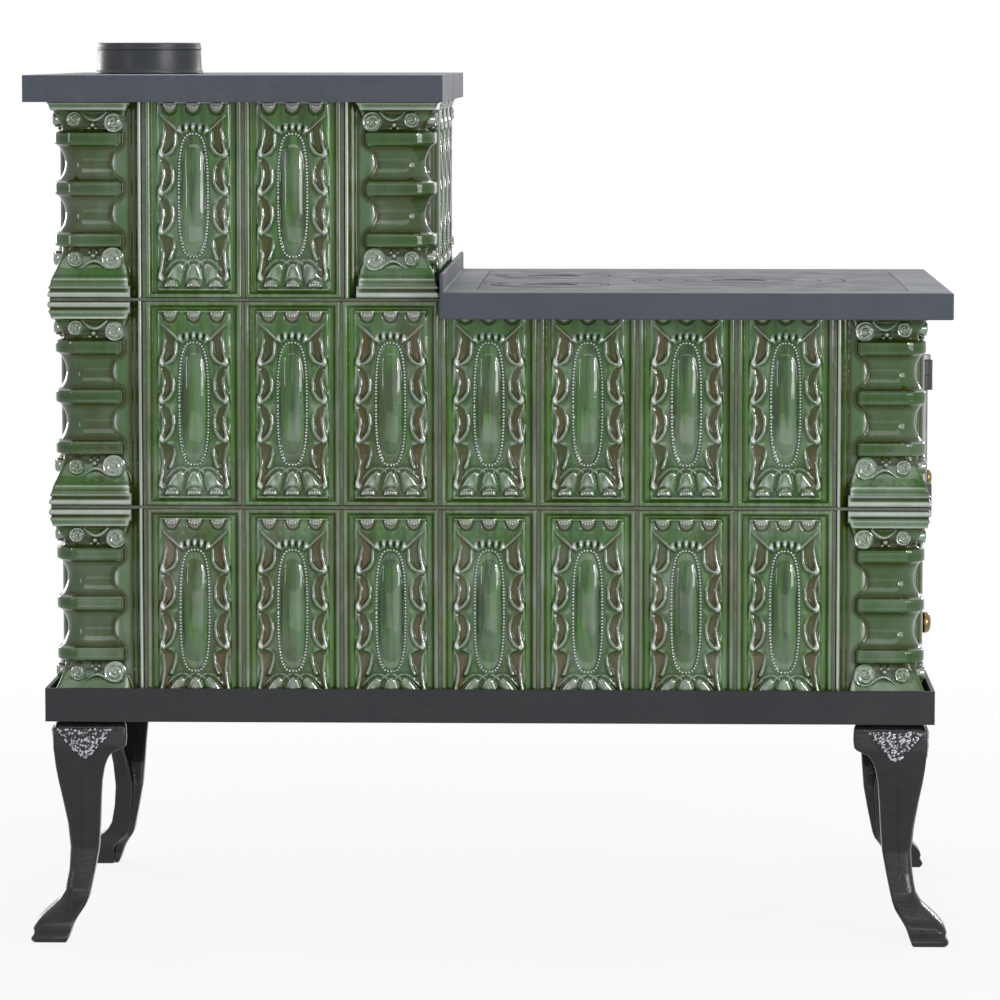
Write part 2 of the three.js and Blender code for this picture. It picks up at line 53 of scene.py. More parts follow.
def newMesh(name, vertices, faces, sharpAngle=38.0):
    mesh = bpy.data.meshes.new(name)
    mesh.from_pydata([tuple(v) for v in vertices], [], [tuple(f) for f in faces])
    mesh.validate()
    mesh.polygons.foreach_set("use_smooth", [True] * len(mesh.polygons))
    mesh.set_sharp_from_angle(angle=math.radians(sharpAngle))
    mesh.update()
    return mesh


def newObject(name, data):
    thing = bpy.data.objects.new(name, data)
    bpy.context.scene.collection.objects.link(thing)
    return thing


def at(x, y, z=0.0):
    # the place of a point given in millimetres
    return Matrix.Translation((x * mm, y * mm, z * mm))


def quarterTurns(count):
    return Matrix.Rotation(count * math.pi / 2, 4, "Z")


def addPiece(name, mesh, material, body, replaced=(), place=None):
    # puts a mesh in the scene, lets it move with its body and stand for the nodes it replaces
    piece = newObject(name, mesh)
    if place is not None:
        piece.matrix_world = place
    if not mesh.materials:
        mesh.materials.append(material)
    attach(piece, body)
    if replaced:
        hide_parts(*replaced)
    return piece


class Builder:
    # collects vertices and faces of one or more closed shells, in millimetres

    def __init__(self):
        self.points = []
        self.faces = []

    def ring(self, points):
        start = len(self.points)
        self.points += [tuple(p) for p in points]
        return list(range(start, start + len(points)))

    def level(self, outline, z):
        return self.ring([(x, y, z) for x, y in outline])

    def bridge(self, first, second):
        for i in range(len(first)):
            j = (i + 1) % len(first)
            self.faces.append((first[i], first[j], second[j], second[i]))

    def loft(self, rings):
        for first, second in zip(rings, rings[1:]):
            self.bridge(first, second)

    def cap(self, ring, flip=False):
        self.faces.append(tuple(reversed(ring)) if flip else tuple(ring))

    def fill(self, outer, holes, flip=False):
        # a flat face with holes, in triangles
        loops = [outer, *holes]
        index = [i for loop in loops for i in loop]
        shapes = [[Vector((self.points[i][0], self.points[i][1], 0)) for i in loop] for loop in loops]
        for a, b, c in tessellate_polygon(shapes):
            p, q, r = (Vector(self.points[index[i]]) for i in (a, b, c))
            up = (q - p).cross(r - p).z > 0
            corners = (index[a], index[b], index[c])
            self.faces.append(corners if up != flip else tuple(reversed(corners)))

    def add(self, vertices, faces, matrix=None):
        start = len(self.points)
        if matrix is None:
            self.points += [tuple(v) for v in vertices]
        else:
            self.points += [tuple(matrix @ Vector(v)) for v in vertices]
        self.faces += [tuple(i + start for i in face) for face in faces]

    def mesh(self, name, sharpAngle=38.0):
        return newMesh(name, [(x * mm, y * mm, z * mm) for x, y, z in self.points], self.faces, sharpAngle)


def fullTurn(steps):
    return [2 * math.pi * i / steps for i in range(steps)]


def roundedRectangle(x0, y0, x1, y1, radius, steps=4):
    # an anticlockwise outline that can be drawn in by an inset
    def outline(inset):
        r = max(radius - inset, 0.2)
        points = []
        for corner in range(4):
            cx = (x1 - inset - r) if corner in (0, 3) else (x0 + inset + r)
            cy = (y1 - inset - r) if corner in (0, 1) else (y0 + inset + r)
            for step in range(steps + 1):
                angle = (corner + step / steps) * math.pi / 2
                points.append((cx + r * math.cos(angle), cy + r * math.sin(angle)))
        return points

    return outline


def circle(cx, cy, radius, steps):
    def outline(inset):
        r = radius - inset
        return [(cx + r * math.cos(a), cy + r * math.sin(a)) for a in fullTurn(steps)]

    return outline


def plate(builder, outline, profile, holes=()):
    # a flat body: its edge follows a profile of (inset, height) from the top face to the bottom face.
    # each hole is (outline, profile) and goes right through; its inset makes it smaller
    rings = [builder.level(outline(inset), z) for inset, z in profile]
    for upper, lower in zip(rings, rings[1:]):
        builder.bridge(lower, upper)
    shafts = [[builder.level(shape(inset), z) for inset, z in edge] for shape, edge in holes]
    for shaft in shafts:
        builder.loft(shaft)
    builder.fill(rings[0], [shaft[0] for shaft in shafts])
    builder.fill(rings[-1], [shaft[-1] for shaft in shafts], flip=True)


def roundEdge(radius, z, steps=3):
    # points of a rounded edge: from the flat face at height z round and down to the side
    angles = [step / steps * math.pi / 2 for step in range(steps + 1)]
    return [(radius * (1 - math.sin(angle)), z - radius * (1 - math.cos(angle))) for angle in angles]


def turned(builder, profile, steps=48, matrix=None):
    # a body turned about Z from a profile of (radius, height) that runs up the outside;
    # the profile starts and ends on the axis, or is a closed loop away from it
    vertices = []
    faces = []
    rings = []
    for r, z in profile:
        if r < 1e-6:
            vertices.append((0, 0, z))
            rings.append([len(vertices) - 1])
            continue
        start = len(vertices)
        vertices += [(r * math.cos(a), r * math.sin(a), z) for a in fullTurn(steps)]
        rings.append(list(range(start, start + steps)))
    pairs = list(zip(rings, rings[1:]))
    if len(rings[0]) > 1 and len(rings[-1]) > 1:
        pairs.append((rings[-1], rings[0]))
    for low, high in pairs:
        for i in range(steps):
            j = (i + 1) % steps
            if len(low) == 1:
                faces.append((low[0], high[j], high[i]))
            elif len(high) == 1:
                faces.append((low[i], low[j], high[0]))
            else:
                faces.append((low[i], low[j], high[j], high[i]))
    builder.add(vertices, faces, matrix)


def tube(builder, path, radii, sides=8):
    # a round tube along a path, with a radius at each point
    points = [Vector(p) for p in path]
    rings = []
    side = None
    for i, point in enumerate(points):
        ahead = (points[min(i + 1, len(points) - 1)] - points[max(i - 1, 0)]).normalized()
        if side is None:
            side = ahead.orthogonal().normalized()
        side = (side - ahead * side.dot(ahead)).normalized()
        other = ahead.cross(side)
        rings.append(builder.ring([
            point + radii[i] * (math.cos(a) * side + math.sin(a) * other) for a in fullTurn(sides)
        ]))
    builder.loft(rings)
    builder.cap(rings[0], flip=True)
    builder.cap(rings[-1])


def bead(builder, centre, radius, flatness=1.0, sides=6, outward=(0, -1, 0)):
    # a small ball, flattened along the way it faces
    turn = Vector((0, 0, 1)).rotation_difference(Vector(outward)).to_matrix().to_4x4()
    profile = [(radius * math.sin(a), -radius * flatness * math.cos(a))
               for a in (0, math.pi * 0.28, math.pi * 0.5, math.pi * 0.75, math.pi)]
    turned(builder, profile, sides, Matrix.Translation(centre) @ turn)


def smoothstep(low, high, value):
    t = np.clip((value - low) / (high - low), 0, 1)
    return t * t * (3 - 2 * t)


def hump(distance, width):
    return np.exp(-(distance / width) ** 2)


def softened(field, times):
    # a light blur, as a thick glaze softens the pressed clay
    for _ in range(times):
        padded = np.pad(field, 1, mode="edge")
        around = padded[:-2, 1:-1] + padded[2:, 1:-1] + padded[1:-1, :-2] + padded[1:-1, 2:]
        field = 0.5 * field + 0.125 * around
    return field


def gridQuads(rows, columns, flip=False):
    # the numbers of a grid's points, the quads between them and the way round its border
    number = np.arange(rows * columns).reshape(rows, columns)
    corners = [number[:-1, :-1], number[:-1, 1:], number[1:, 1:], number[1:, :-1]]
    if flip:
        corners = [corners[0], *corners[:0:-1]]
    border = [*number[0, :-1], *number[:-1, -1], *number[-1, :0:-1], *number[:0:-1, 0]]
    return number, np.stack(corners, axis=-1).reshape(-1, 4).tolist(), [int(i) for i in border]


def glazeMasks(height, spacing):
    # where the glaze is thin (on ridges, whose pale colour is partly a painted highlight), where it gathers
    # (in hollows) and where it stands proud and shines
    bulge = height - softened(height, 10)
    broad = height - softened(height, 60)
    thinAndGlint = np.clip(bulge / (0.35 * spacing), 0, 1)
    poolAndShade = np.clip(-bulge / (0.3 * spacing), 0, 1)
    shine = np.clip(0.7 * thinAndGlint + 0.5 * np.clip(broad / (1.4 * spacing), 0, 1), 0, 1)
    return softened(thinAndGlint, 1), softened(poolAndShade, 2), softened(shine, 1)


def setMasks(mesh, masks, bare=0):
    # a mask's name leads to its values on the pressed face and one value for what is laid on that face;
    # of the points after the face's own, the first bare ones get nothing
    for name, (face, laidOn) in masks.items():
        values = np.full(len(mesh.vertices), laidOn, np.float32)
        values[:face.size] = face.ravel()
        values[face.size:face.size + bare] = 0
        mesh.attributes.new(name, "FLOAT", "POINT").data.foreach_set("value", values)


# Materials

def addNode(tree, kind, values=None, **settings):
    node = tree.nodes.new(kind)
    for key, value in settings.items():
        setattr(node, key, value)
    for key, value in (values or {}).items():
        node.inputs[key].default_value = value
    return node


def noise(tree, vector, scale, detail=3.0, roughness=0.5, stretch=None):
    if stretch is not None:
        mapping = addNode(tree, "ShaderNodeMapping", {"Scale": stretch})
        tree.links.new(vector, mapping.inputs["Vector"])
        vector = mapping.outputs["Vector"]
    node = addNode(tree, "ShaderNodeTexNoise", {"Scale": scale, "Detail": detail, "Roughness": roughness})
    tree.links.new(vector, node.inputs["Vector"])
    return node.outputs["Fac"]


def ramp(tree, value, low, high, toLow=0.0, toHigh=1.0):
    node = addNode(tree, "ShaderNodeMapRange", {
        "From Min": low, "From Max": high, "To Min": toLow, "To Max": toHigh})
    tree.links.new(value, node.inputs["Value"])
    return node.outputs["Result"]


def maths(tree, operation, *terms):
    node = addNode(tree, "ShaderNodeMath", operation=operation)
    for socket, value in zip(node.inputs, terms):
        if isinstance(value, (int, float)):
            socket.default_value = value
        else:
            tree.links.new(value, socket)
    return node.outputs["Value"]


def mixColor(tree, factor, first, second):
    # the colour sockets of a mix node are numbers 6 and 7, and its colour result is number 2
    node = addNode(tree, "ShaderNodeMix", data_type="RGBA")
    tree.links.new(factor, node.inputs["Factor"])
    for socket, value in zip(node.inputs[6:8], (first, second)):
        if isinstance(value, bpy.types.NodeSocket):
            tree.links.new(value, socket)
        else:
            socket.default_value = (*value, 1.0)
    return node.outputs[2]


def mixShaders(tree, factor, first, second, end):
    # where the factor is one the second shader shows
    mixed = addNode(tree, "ShaderNodeMixShader")
    for socket, value in zip(mixed.inputs, (factor, first.outputs[0], second.outputs[0])):
        tree.links.new(value, socket)
    tree.links.new(mixed.outputs[0], end.inputs["Surface"])


def newGroup(name, inputs, outputs):
    group = bpy.data.node_groups.new(name, "ShaderNodeTree")
    for label, kind, default in inputs:
        socket = group.interface.new_socket(label, in_out="INPUT", socket_type=kind)
        if default is not None:
            socket.default_value = default
    for label, kind in outputs:
        group.interface.new_socket(label, in_out="OUTPUT", socket_type=kind)
    return group, group.nodes.new("NodeGroupInput"), group.nodes.new("NodeGroupOutput")


def makeCastGrain():
    # the fine pits and slow waves of a cast or thickly painted surface: a height and a roughness mask
    group, given, made = newGroup(
        "castGrain",
        [("Vector", "NodeSocketVector", None), ("Grain Scale", "NodeSocketFloat", 900.0),
         ("Wave Scale", "NodeSocketFloat", 60.0), ("Wave Share", "NodeSocketFloat", 0.6)],
        [("Height", "NodeSocketFloat"), ("Mottle", "NodeSocketFloat")])
    fine = addNode(group, "ShaderNodeTexNoise", {"Detail": 4.0, "Roughness": 0.6})
    slow = addNode(group, "ShaderNodeTexNoise", {"Detail": 3.0, "Roughness": 0.5})
    for node, label in ((fine, "Grain Scale"), (slow, "Wave Scale")):
        group.links.new(given.outputs["Vector"], node.inputs["Vector"])
        group.links.new(given.outputs[label], node.inputs["Scale"])
    mixed = addNode(group, "ShaderNodeMix", data_type="FLOAT")
    group.links.new(given.outputs["Wave Share"], mixed.inputs["Factor"])
    group.links.new(fine.outputs["Fac"], mixed.inputs[2])
    group.links.new(slow.outputs["Fac"], mixed.inputs[3])
    group.links.new(mixed.outputs[0], made.inputs["Height"])
    group.links.new(slow.outputs["Fac"], made.inputs["Mottle"])
    return group


def makeEdgeWear():
    # where edges have lost their finish, broken up by noise
    group, given, made = newGroup(
        "edgeWear",
        [("Vector", "NodeSocketVector", None), ("Amount", "NodeSocketFloat", 0.5)],
        [("Mask", "NodeSocketFloat")])
    edges = addNode(group, "ShaderNodeNewGeometry")
    sharp = ramp(group, edges.outputs["Pointiness"], 0.53, 0.62)
    patch = noise(group, given.outputs["Vector"], 140.0, 4.0, 0.65)
    patchy = ramp(group, patch, 0.42, 0.62)
    worn = maths(group, "MULTIPLY", sharp, patchy)
    group.links.new(maths(group, "MULTIPLY", worn, given.outputs["Amount"]), made.inputs["Mask"])
    return group


castGrain = makeCastGrain()
edgeWear = makeEdgeWear()


def startMaterial(name, **sockets):
    material = bpy.data.materials.new(name)
    material.use_nodes = True
    tree = material.node_tree
    shader = tree.nodes["Principled BSDF"]
    for key, value in sockets.items():
        shader.inputs[key].default_value = value
    place = addNode(tree, "ShaderNodeTexCoord")
    return material, tree, shader, place.outputs["Object"]


def useGroup(tree, group, vector, **values):
    node = addNode(tree, "ShaderNodeGroup", node_tree=group)
    tree.links.new(vector, node.inputs["Vector"])
    for label, value in values.items():
        node.inputs[label.replace("_", " ")].default_value = value
    return node


def addBump(tree, shader, height, strength, distance):
    bump = addNode(tree, "ShaderNodeBump", {"Strength": strength, "Distance": distance * mm})
    tree.links.new(height, bump.inputs["Height"])
    tree.links.new(bump.outputs["Normal"], shader.inputs["Normal"])


def makeFinish(name, look):
    # paint, iron, steel, brass or clay: two mottled tones, stains, worn edges, uneven roughness and a grain
    material, tree, shader, vector = startMaterial(
        name, **{"Metallic": look["metal"], "Specular IOR Level": look.get("gloss", 0.5)})
    grain = useGroup(tree, castGrain, vector, Grain_Scale=look["grain"], Wave_Scale=look["wave"],
                     Wave_Share=look["waveShare"])
    wear = useGroup(tree, edgeWear, vector, Amount=look["wear"])
    mottle = ramp(tree, grain.outputs["Mottle"], 0.35, 0.65)
    stain = ramp(tree, noise(tree, vector, look["stainScale"], 5.0, 0.6, look.get("stretch")), 0.35, 0.68)
    base = mixColor(tree, mottle, look["dark"], look["light"])
    stained = mixColor(tree, maths(tree, "MULTIPLY", stain, look["stainAmount"]), base, look["stain"])
    color = mixColor(tree, wear.outputs["Mask"], stained, look["worn"])
    if "sootAndShade" in look:
        # soot and painted shade: every face that isn't level is darkened, as in the gaps between plate, rings
        # and lids
        geometry = addNode(tree, "ShaderNodeNewGeometry")
        upright = addNode(tree, "ShaderNodeSeparateXYZ")
        tree.links.new(geometry.outputs["True Normal"], upright.inputs["Vector"])
        sootAndShadeMask = ramp(tree, maths(tree, "ABSOLUTE", upright.outputs["Z"]), 0.96, 0.9)
        color = mixColor(tree, sootAndShadeMask, color, look["sootAndShade"])
    tree.links.new(color, shader.inputs["Base Color"])
    low, high = look["roughness"]
    rough = ramp(tree, noise(tree, vector, look["stainScale"] * 2.3, 4.0), 0.3, 0.7, low, high)
    tree.links.new(rough, shader.inputs["Roughness"])
    addBump(tree, shader, grain.outputs["Height"], look["bump"], look["bumpDepth"])
    return material


finishes = {
    "platePaint": {
        "metal": 0.0, "gloss": 0.45, "grain": 1100.0, "wave": 26.0, "waveShare": 0.35, "wear": 0.05,
        "stainScale": 4.0, "stainAmount": 0.3, "dark": (0.036, 0.044, 0.060), "light": (0.045, 0.054, 0.072),
        "stain": (0.064, 0.075, 0.095), "worn": (0.2, 0.2, 0.21), "roughness": (0.44, 0.6), "bump": 0.12,
        "bumpDepth": 0.25},
    "trayPaint": {
        "metal": 0.0, "gloss": 0.3, "grain": 1200.0, "wave": 22.0, "waveShare": 0.3, "wear": 0.03,
        "stainScale": 4.0, "stainAmount": 0.1, "dark": (0.014, 0.015, 0.018), "light": (0.018, 0.019, 0.022),
        "stain": (0.038, 0.039, 0.043), "worn": (0.15, 0.15, 0.15), "roughness": (0.4, 0.55), "bump": 0.1,
        "bumpDepth": 0.2},
    "legStipple": {
        "metal": 0.85, "gloss": 0.6, "grain": 500.0, "wave": 260.0, "waveShare": 0.5, "wear": 0.6,
        "stainScale": 190.0, "stainAmount": 1.0, "dark": (0.05, 0.052, 0.06), "light": (0.12, 0.125, 0.14),
        "stain": (0.42, 0.44, 0.48), "worn": (0.65, 0.65, 0.68), "roughness": (0.08, 0.2), "bump": 0.3,
        "bumpDepth": 0.5},
    "legEnamel": {
        "metal": 0.0, "gloss": 0.38, "grain": 420.0, "wave": 75.0, "waveShare": 0.55, "wear": 0.1,
        "stainScale": 16.0, "stainAmount": 0.4, "dark": (0.0075, 0.0075, 0.009),
        "light": (0.013, 0.013, 0.015), "stain": (0.022, 0.022, 0.024), "worn": (0.12, 0.11, 0.1),
        "roughness": (0.10, 0.24), "bump": 0.6, "bumpDepth": 1.1},
    "hobIron": {
        "metal": 0.2, "gloss": 0.5, "grain": 900.0, "wave": 30.0, "waveShare": 0.3, "wear": 0.06,
        "stainScale": 12.0, "stainAmount": 0.5, "dark": (0.044, 0.050, 0.063), "light": (0.066, 0.072, 0.086),
        "stain": (0.10, 0.104, 0.113), "worn": (0.28, 0.27, 0.26), "roughness": (0.48, 0.7), "bump": 0.22,
        # soot and painted shade on faces that aren't level
        "bumpDepth": 0.3, "sootAndShade": (0.008, 0.008, 0.009)},
    "doorIron": {
        "metal": 0.25, "gloss": 0.5, "grain": 520.0, "wave": 60.0, "waveShare": 0.4, "wear": 0.06,
        "stainScale": 14.0, "stainAmount": 0.35, "dark": (0.028, 0.028, 0.031),
        "light": (0.042, 0.042, 0.045), "stain": (0.06, 0.057, 0.053), "worn": (0.16, 0.155, 0.15),
        "roughness": (0.35, 0.52), "bump": 0.3, "bumpDepth": 0.5},
    "collarPaint": {
        "metal": 0.0, "gloss": 0.35, "grain": 1100.0, "wave": 30.0, "waveShare": 0.35, "wear": 0.08,
        "stainScale": 11.0, "stainAmount": 0.4, "dark": (0.026, 0.030, 0.038), "light": (0.036, 0.040, 0.050),
        "stain": (0.07, 0.076, 0.086), "worn": (0.16, 0.16, 0.165), "roughness": (0.3, 0.45), "bump": 0.15,
        "bumpDepth": 0.3},
    "rawSteel": {
        "metal": 0.9, "gloss": 0.5, "grain": 1500.0, "wave": 20.0, "waveShare": 0.2, "wear": 0.4,
        "stainScale": 10.0, "stainAmount": 0.5, "dark": (0.24, 0.24, 0.25), "light": (0.33, 0.33, 0.34),
        "stain": (0.2, 0.17, 0.14), "worn": (0.5, 0.5, 0.5), "roughness": (0.3, 0.5), "bump": 0.12,
        "bumpDepth": 0.2, "stretch": (1.0, 1.0, 6.0)},
    "knobBrass": {
        "metal": 1.0, "gloss": 0.5, "grain": 900.0, "wave": 60.0, "waveShare": 0.4, "wear": 0.6,
        "stainScale": 30.0, "stainAmount": 0.55, "dark": (0.22, 0.15, 0.065), "light": (0.34, 0.24, 0.11),
        "stain": (0.14, 0.09, 0.04), "worn": (0.55, 0.42, 0.2), "roughness": (0.16, 0.34), "bump": 0.1,
        "bumpDepth": 0.2},
    "fireclay": {
        "metal": 0.0, "gloss": 0.2, "grain": 700.0, "wave": 45.0, "waveShare": 0.35, "wear": 0.3,
        "stainScale": 18.0, "stainAmount": 0.6, "dark": (0.46, 0.33, 0.21), "light": (0.62, 0.47, 0.32),
        "stain": (0.22, 0.17, 0.13), "worn": (0.7, 0.58, 0.43), "roughness": (0.82, 0.95), "bump": 0.7,
        "bumpDepth": 1.2},
    "jointClay": {
        "metal": 0.0, "gloss": 0.25, "grain": 800.0, "wave": 90.0, "waveShare": 0.4, "wear": 0.05,
        "stainScale": 25.0, "stainAmount": 0.6, "dark": (0.105, 0.105, 0.080), "light": (0.150, 0.150, 0.118),
        "stain": (0.085, 0.095, 0.065), "worn": (0.25, 0.24, 0.2), "roughness": (0.7, 0.9), "bump": 0.6,
        "bumpDepth": 0.8},
}
materials = {name: makeFinish(name, look) for name, look in finishes.items()}


glaze = {
    # deep: the green of gathered glaze and dark streaks, also the colour of painted shade
    "deep": (0.010, 0.040, 0.002),
    "leaf": (0.033, 0.110, 0.008),
    "bright": (0.062, 0.200, 0.014),
    # milky: cloudy glaze, also the colour of painted reflections
    "milkyAndReflected": (0.094, 0.158, 0.086),
    "olive": (0.036, 0.040, 0.003),
    "amber": (0.110, 0.050, 0.004),
    # bare: pale thin glaze, also the colour of painted glints
    "bare": (0.56, 0.61, 0.60),
    "roughness": (0.03, 0.08),
    "ior": 1.5, "gloss": 0.36,
    "shineIor": 2.3, "shineRoughness": 0.03,
    "waveDepth": 0.6,
    # a tile's own noise is shifted by up to this many metres
    "apart": 40.0,
    "masks": ("thinAndGlint", "poolAndShade", "amber", "shine", "streak", "clear", "paintedReflection"),
}


def makeGlaze():
    # green glaze over pressed clay: clouded between leaf green and milky, streaked downwards, deep where it
    # gathers and where shade is painted, milky where reflections are painted, olive to amber in the folds,
    # pale where it is thin and where glints are painted, with a bright coat on what stands proud
    material, tree, shader, vector = startMaterial("greenGlaze", **{
        "IOR": glaze["ior"], "Specular IOR Level": glaze["gloss"],
        "Coat IOR": glaze["shineIor"], "Coat Roughness": glaze["shineRoughness"]})
    piece = addNode(tree, "ShaderNodeObjectInfo")
    shift = addNode(tree, "ShaderNodeVectorMath", operation="ADD")
    spread = addNode(tree, "ShaderNodeCombineXYZ")
    far = maths(tree, "MULTIPLY", piece.outputs["Random"], glaze["apart"])
    for axis in ("X", "Y", "Z"):
        tree.links.new(far, spread.inputs[axis])
    tree.links.new(vector, shift.inputs[0])
    tree.links.new(spread.outputs["Vector"], shift.inputs[1])
    own = shift.outputs["Vector"]
    thinAndGlint, poolAndShade, amber, shine, streak, clear, paintedReflection = (
        addNode(tree, "ShaderNodeAttribute", attribute_name=name).outputs["Fac"] for name in glaze["masks"])
    streaks = noise(tree, own, 130.0, 4.0, 0.62, (1.0, 1.0, 0.07))
    clouds = noise(tree, own, 15.0, 3.0, 0.55)
    drift = noise(tree, own, 26.0, 4.0, 0.6, (1.0, 1.0, 0.35))
    tone = mixColor(tree, ramp(tree, clouds, 0.46, 0.66), glaze["leaf"], glaze["milkyAndReflected"])
    lit = maths(tree, "MULTIPLY", ramp(tree, streaks, 0.48, 0.60, 0.0, 0.9), streak)
    streaked = mixColor(tree, maths(tree, "MAXIMUM", lit, clear), tone, glaze["bright"])
    dark = maths(tree, "MULTIPLY", ramp(tree, streaks, 0.52, 0.40, 0.0, 0.95), streak)
    dulled = mixColor(tree, dark, streaked, glaze["deep"])
    # painted reflection: milky colour where the reflection mask is set
    reflectionShare = maths(tree, "MULTIPLY", paintedReflection, ramp(tree, clouds, 0.3, 0.6, 0.45, 1.0))
    withReflection = mixColor(tree, reflectionShare, dulled, glaze["milkyAndReflected"])
    # deep green where the glaze gathers, and painted shade on the oval's left and the corner bands
    deepened = mixColor(tree, ramp(tree, poolAndShade, 0.1, 0.9, 0.0, 0.85), withReflection, glaze["deep"])
    brownness = ramp(tree, piece.outputs["Random"], 0.0, 1.0, -0.07, 0.09)
    brown = maths(tree, "ADD", drift, brownness)
    earthy = mixColor(tree, ramp(tree, brown, 0.5, 0.66, 0.0, 0.5), deepened, glaze["olive"])
    hollow = mixColor(tree, ramp(tree, amber, 0.05, 0.5, 0.0, 0.75), earthy, glaze["olive"])
    orange = maths(tree, "MULTIPLY", ramp(tree, amber, 0.72, 0.98, 0.0, 0.9), ramp(tree, brown, 0.44, 0.58))
    browned = mixColor(tree, orange, hollow, glaze["amber"])
    # pale where the glaze is thin, and painted glints on crests, tips, beads and volutes
    paleThinAndGlint = maths(tree, "MULTIPLY", ramp(tree, thinAndGlint, 0.3, 1.0), ramp(tree, drift, 0.35, 0.6, 0.55, 1.0))
    tinted = mixColor(tree, paleThinAndGlint, browned, glaze["bare"])
    tree.links.new(tinted, shader.inputs["Base Color"])
    low, high = glaze["roughness"]
    tree.links.new(ramp(tree, clouds, 0.35, 0.7, low, high), shader.inputs["Roughness"])
    coat = maths(tree, "ADD", ramp(tree, shine, 0.1, 1.0, 0.0, 0.85), ramp(tree, clouds, 0.5, 0.7, 0.0, 0.15))
    tree.links.new(coat, shader.inputs["Coat Weight"])
    waves = noise(tree, own, 85.0, 2.5, 0.5)
    specks = noise(tree, own, 420.0, 2.0, 0.5)
    height = maths(tree, "ADD", waves, maths(tree, "MULTIPLY", specks, 0.08))
    addBump(tree, shader, height, 0.5, glaze["waveDepth"])
    return material


def bareBack(mesh, hidden):
    # glaze, but bare fired clay on the faces that hidden picks by their middle
    mesh.materials.append(greenGlaze)
    mesh.materials.append(materials["fireclay"])
    for face in mesh.polygons:
        if hidden(face.center):
            face.material_index = 1


greenGlaze = makeGlaze()
print("materials made")


# Where things are

def span(node):
    # a node's lowest and highest corner in millimetres
    low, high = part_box(node)
    return [v / mm for v in low], [v / mm for v in high]


bodyLow, bodyHigh = span("corner_tile_lower_front_left")[0], span("corner_tile_lower_back_right")[1]
midX = (bodyLow[0] + bodyHigh[0]) / 2
halfDeep = (bodyHigh[1] - bodyLow[1]) / 2
raisedRight = span("corner_tile_upper_front_right")[1][0]
# quarter turns from the front, or from the front left corner
walls = {"front": 0, "right": 1, "back": 2, "left": 3}
corners = {"front_left": 0, "front_right": 1, "back_right": 2, "back_left": 3}


def middleOf(node):
    low, high = span(node)
    return (low[0] + high[0]) / 2, (low[1] + high[1]) / 2


def rowRight(row):
    # the upper row stands on the raised part only
    return raisedRight if row == "upper" else bodyHigh[0]


# Camera, floor and light

# millimetres from the middle of the front, then degrees
view = {"ahead": 5319.0, "right": 172.0, "height": 959.0, "down": 5.165, "left": 1.725,
        "lens": 180.0, "sensor": 36.0, "farthest": 100.0}


def makeCamera():
    camera = bpy.data.cameras.new("camera")
    camera.lens = view["lens"]
    camera.sensor_width = view["sensor"]
    camera.clip_end = view["farthest"]
    holder = newObject("camera", camera)
    holder.location = ((midX + view["right"]) * mm, (-halfDeep - view["ahead"]) * mm, view["height"] * mm)
    holder.rotation_euler = (math.radians(90 - view["down"]), 0, math.radians(view["left"]))
    bpy.context.scene.camera = holder


studio = {
    "floorColor": (0.9, 0.9, 0.895), "gritColor": (0.8, 0.8, 0.8), "floorSize": 60000.0, "floorHeight": -0.2,
    "ambient": {"Color": (0.93, 0.96, 1.0, 1.0), "Strength": 0.22},
    # how much of the plain white shows in the floor near the stove and from how far out it is all white
    "whiteShare": 0.88, "nearReach": 0.8, "farReach": 2.2,
    # name: place, aim, width, height, brightness
    "lamps": {
        "skyPanel": ((0.2, -4.2, 3.4), (0.0, -0.25, 0.5), 4.2, 1.2, 2.2),
        "rightWindow": ((3.5, -3.5, 1.35), (0.0, -0.25, 0.55), 2.0, 2.0, 6.5),
        "rightSlit": ((3.0, -4.6, 1.7), (0.0, -0.25, 0.55), 0.3, 0.8, 50.0),
        "leftWindow": ((-3.6, -3.6, 1.4), (0.0, -0.25, 0.55), 0.5, 1.8, 6.0),
        "lowPanel": ((0.2, -1.75, 0.05), (0.0, -0.5, 0.6), 2.4, 0.7, 0.9),
        "topPanel": ((0.1, 0.1, 3.6), (0.0, 0.0, 0.5), 1.6, 1.0, 5.0),
        "backSky": ((-0.2, 4.0, 3.2), (0.0, 0.25, 0.5), 3.8, 1.2, 2.2),
        "backWindow": ((-3.4, 3.7, 1.4), (0.0, 0.25, 0.55), 2.0, 2.0, 6.5),
        "backSlit": ((2.6, 4.4, 1.7), (0.0, 0.25, 0.55), 0.3, 0.8, 40.0),
    },
}


plainWhite = {"Color": (1.0, 1.0, 1.0, 1.0), "Strength": 1.0}


def seenDirectly(tree):
    # one for rays that should meet the white background: from the camera, mirrored or let through
    path = addNode(tree, "ShaderNodeLightPath")
    direct = maths(tree, "MAXIMUM", path.outputs["Is Camera Ray"], path.outputs["Is Glossy Ray"])
    return maths(tree, "MAXIMUM", direct, path.outputs["Is Transmission Ray"])


def makeWorld():
    world = bpy.data.worlds.new("studio")
    bpy.context.scene.world = world
    world.use_nodes = True
    tree = world.node_tree
    tree.nodes.clear()
    soft = addNode(tree, "ShaderNodeBackground", studio["ambient"])
    white = addNode(tree, "ShaderNodeBackground", plainWhite)
    mixShaders(tree, seenDirectly(tree), soft, white, addNode(tree, "ShaderNodeOutputWorld"))


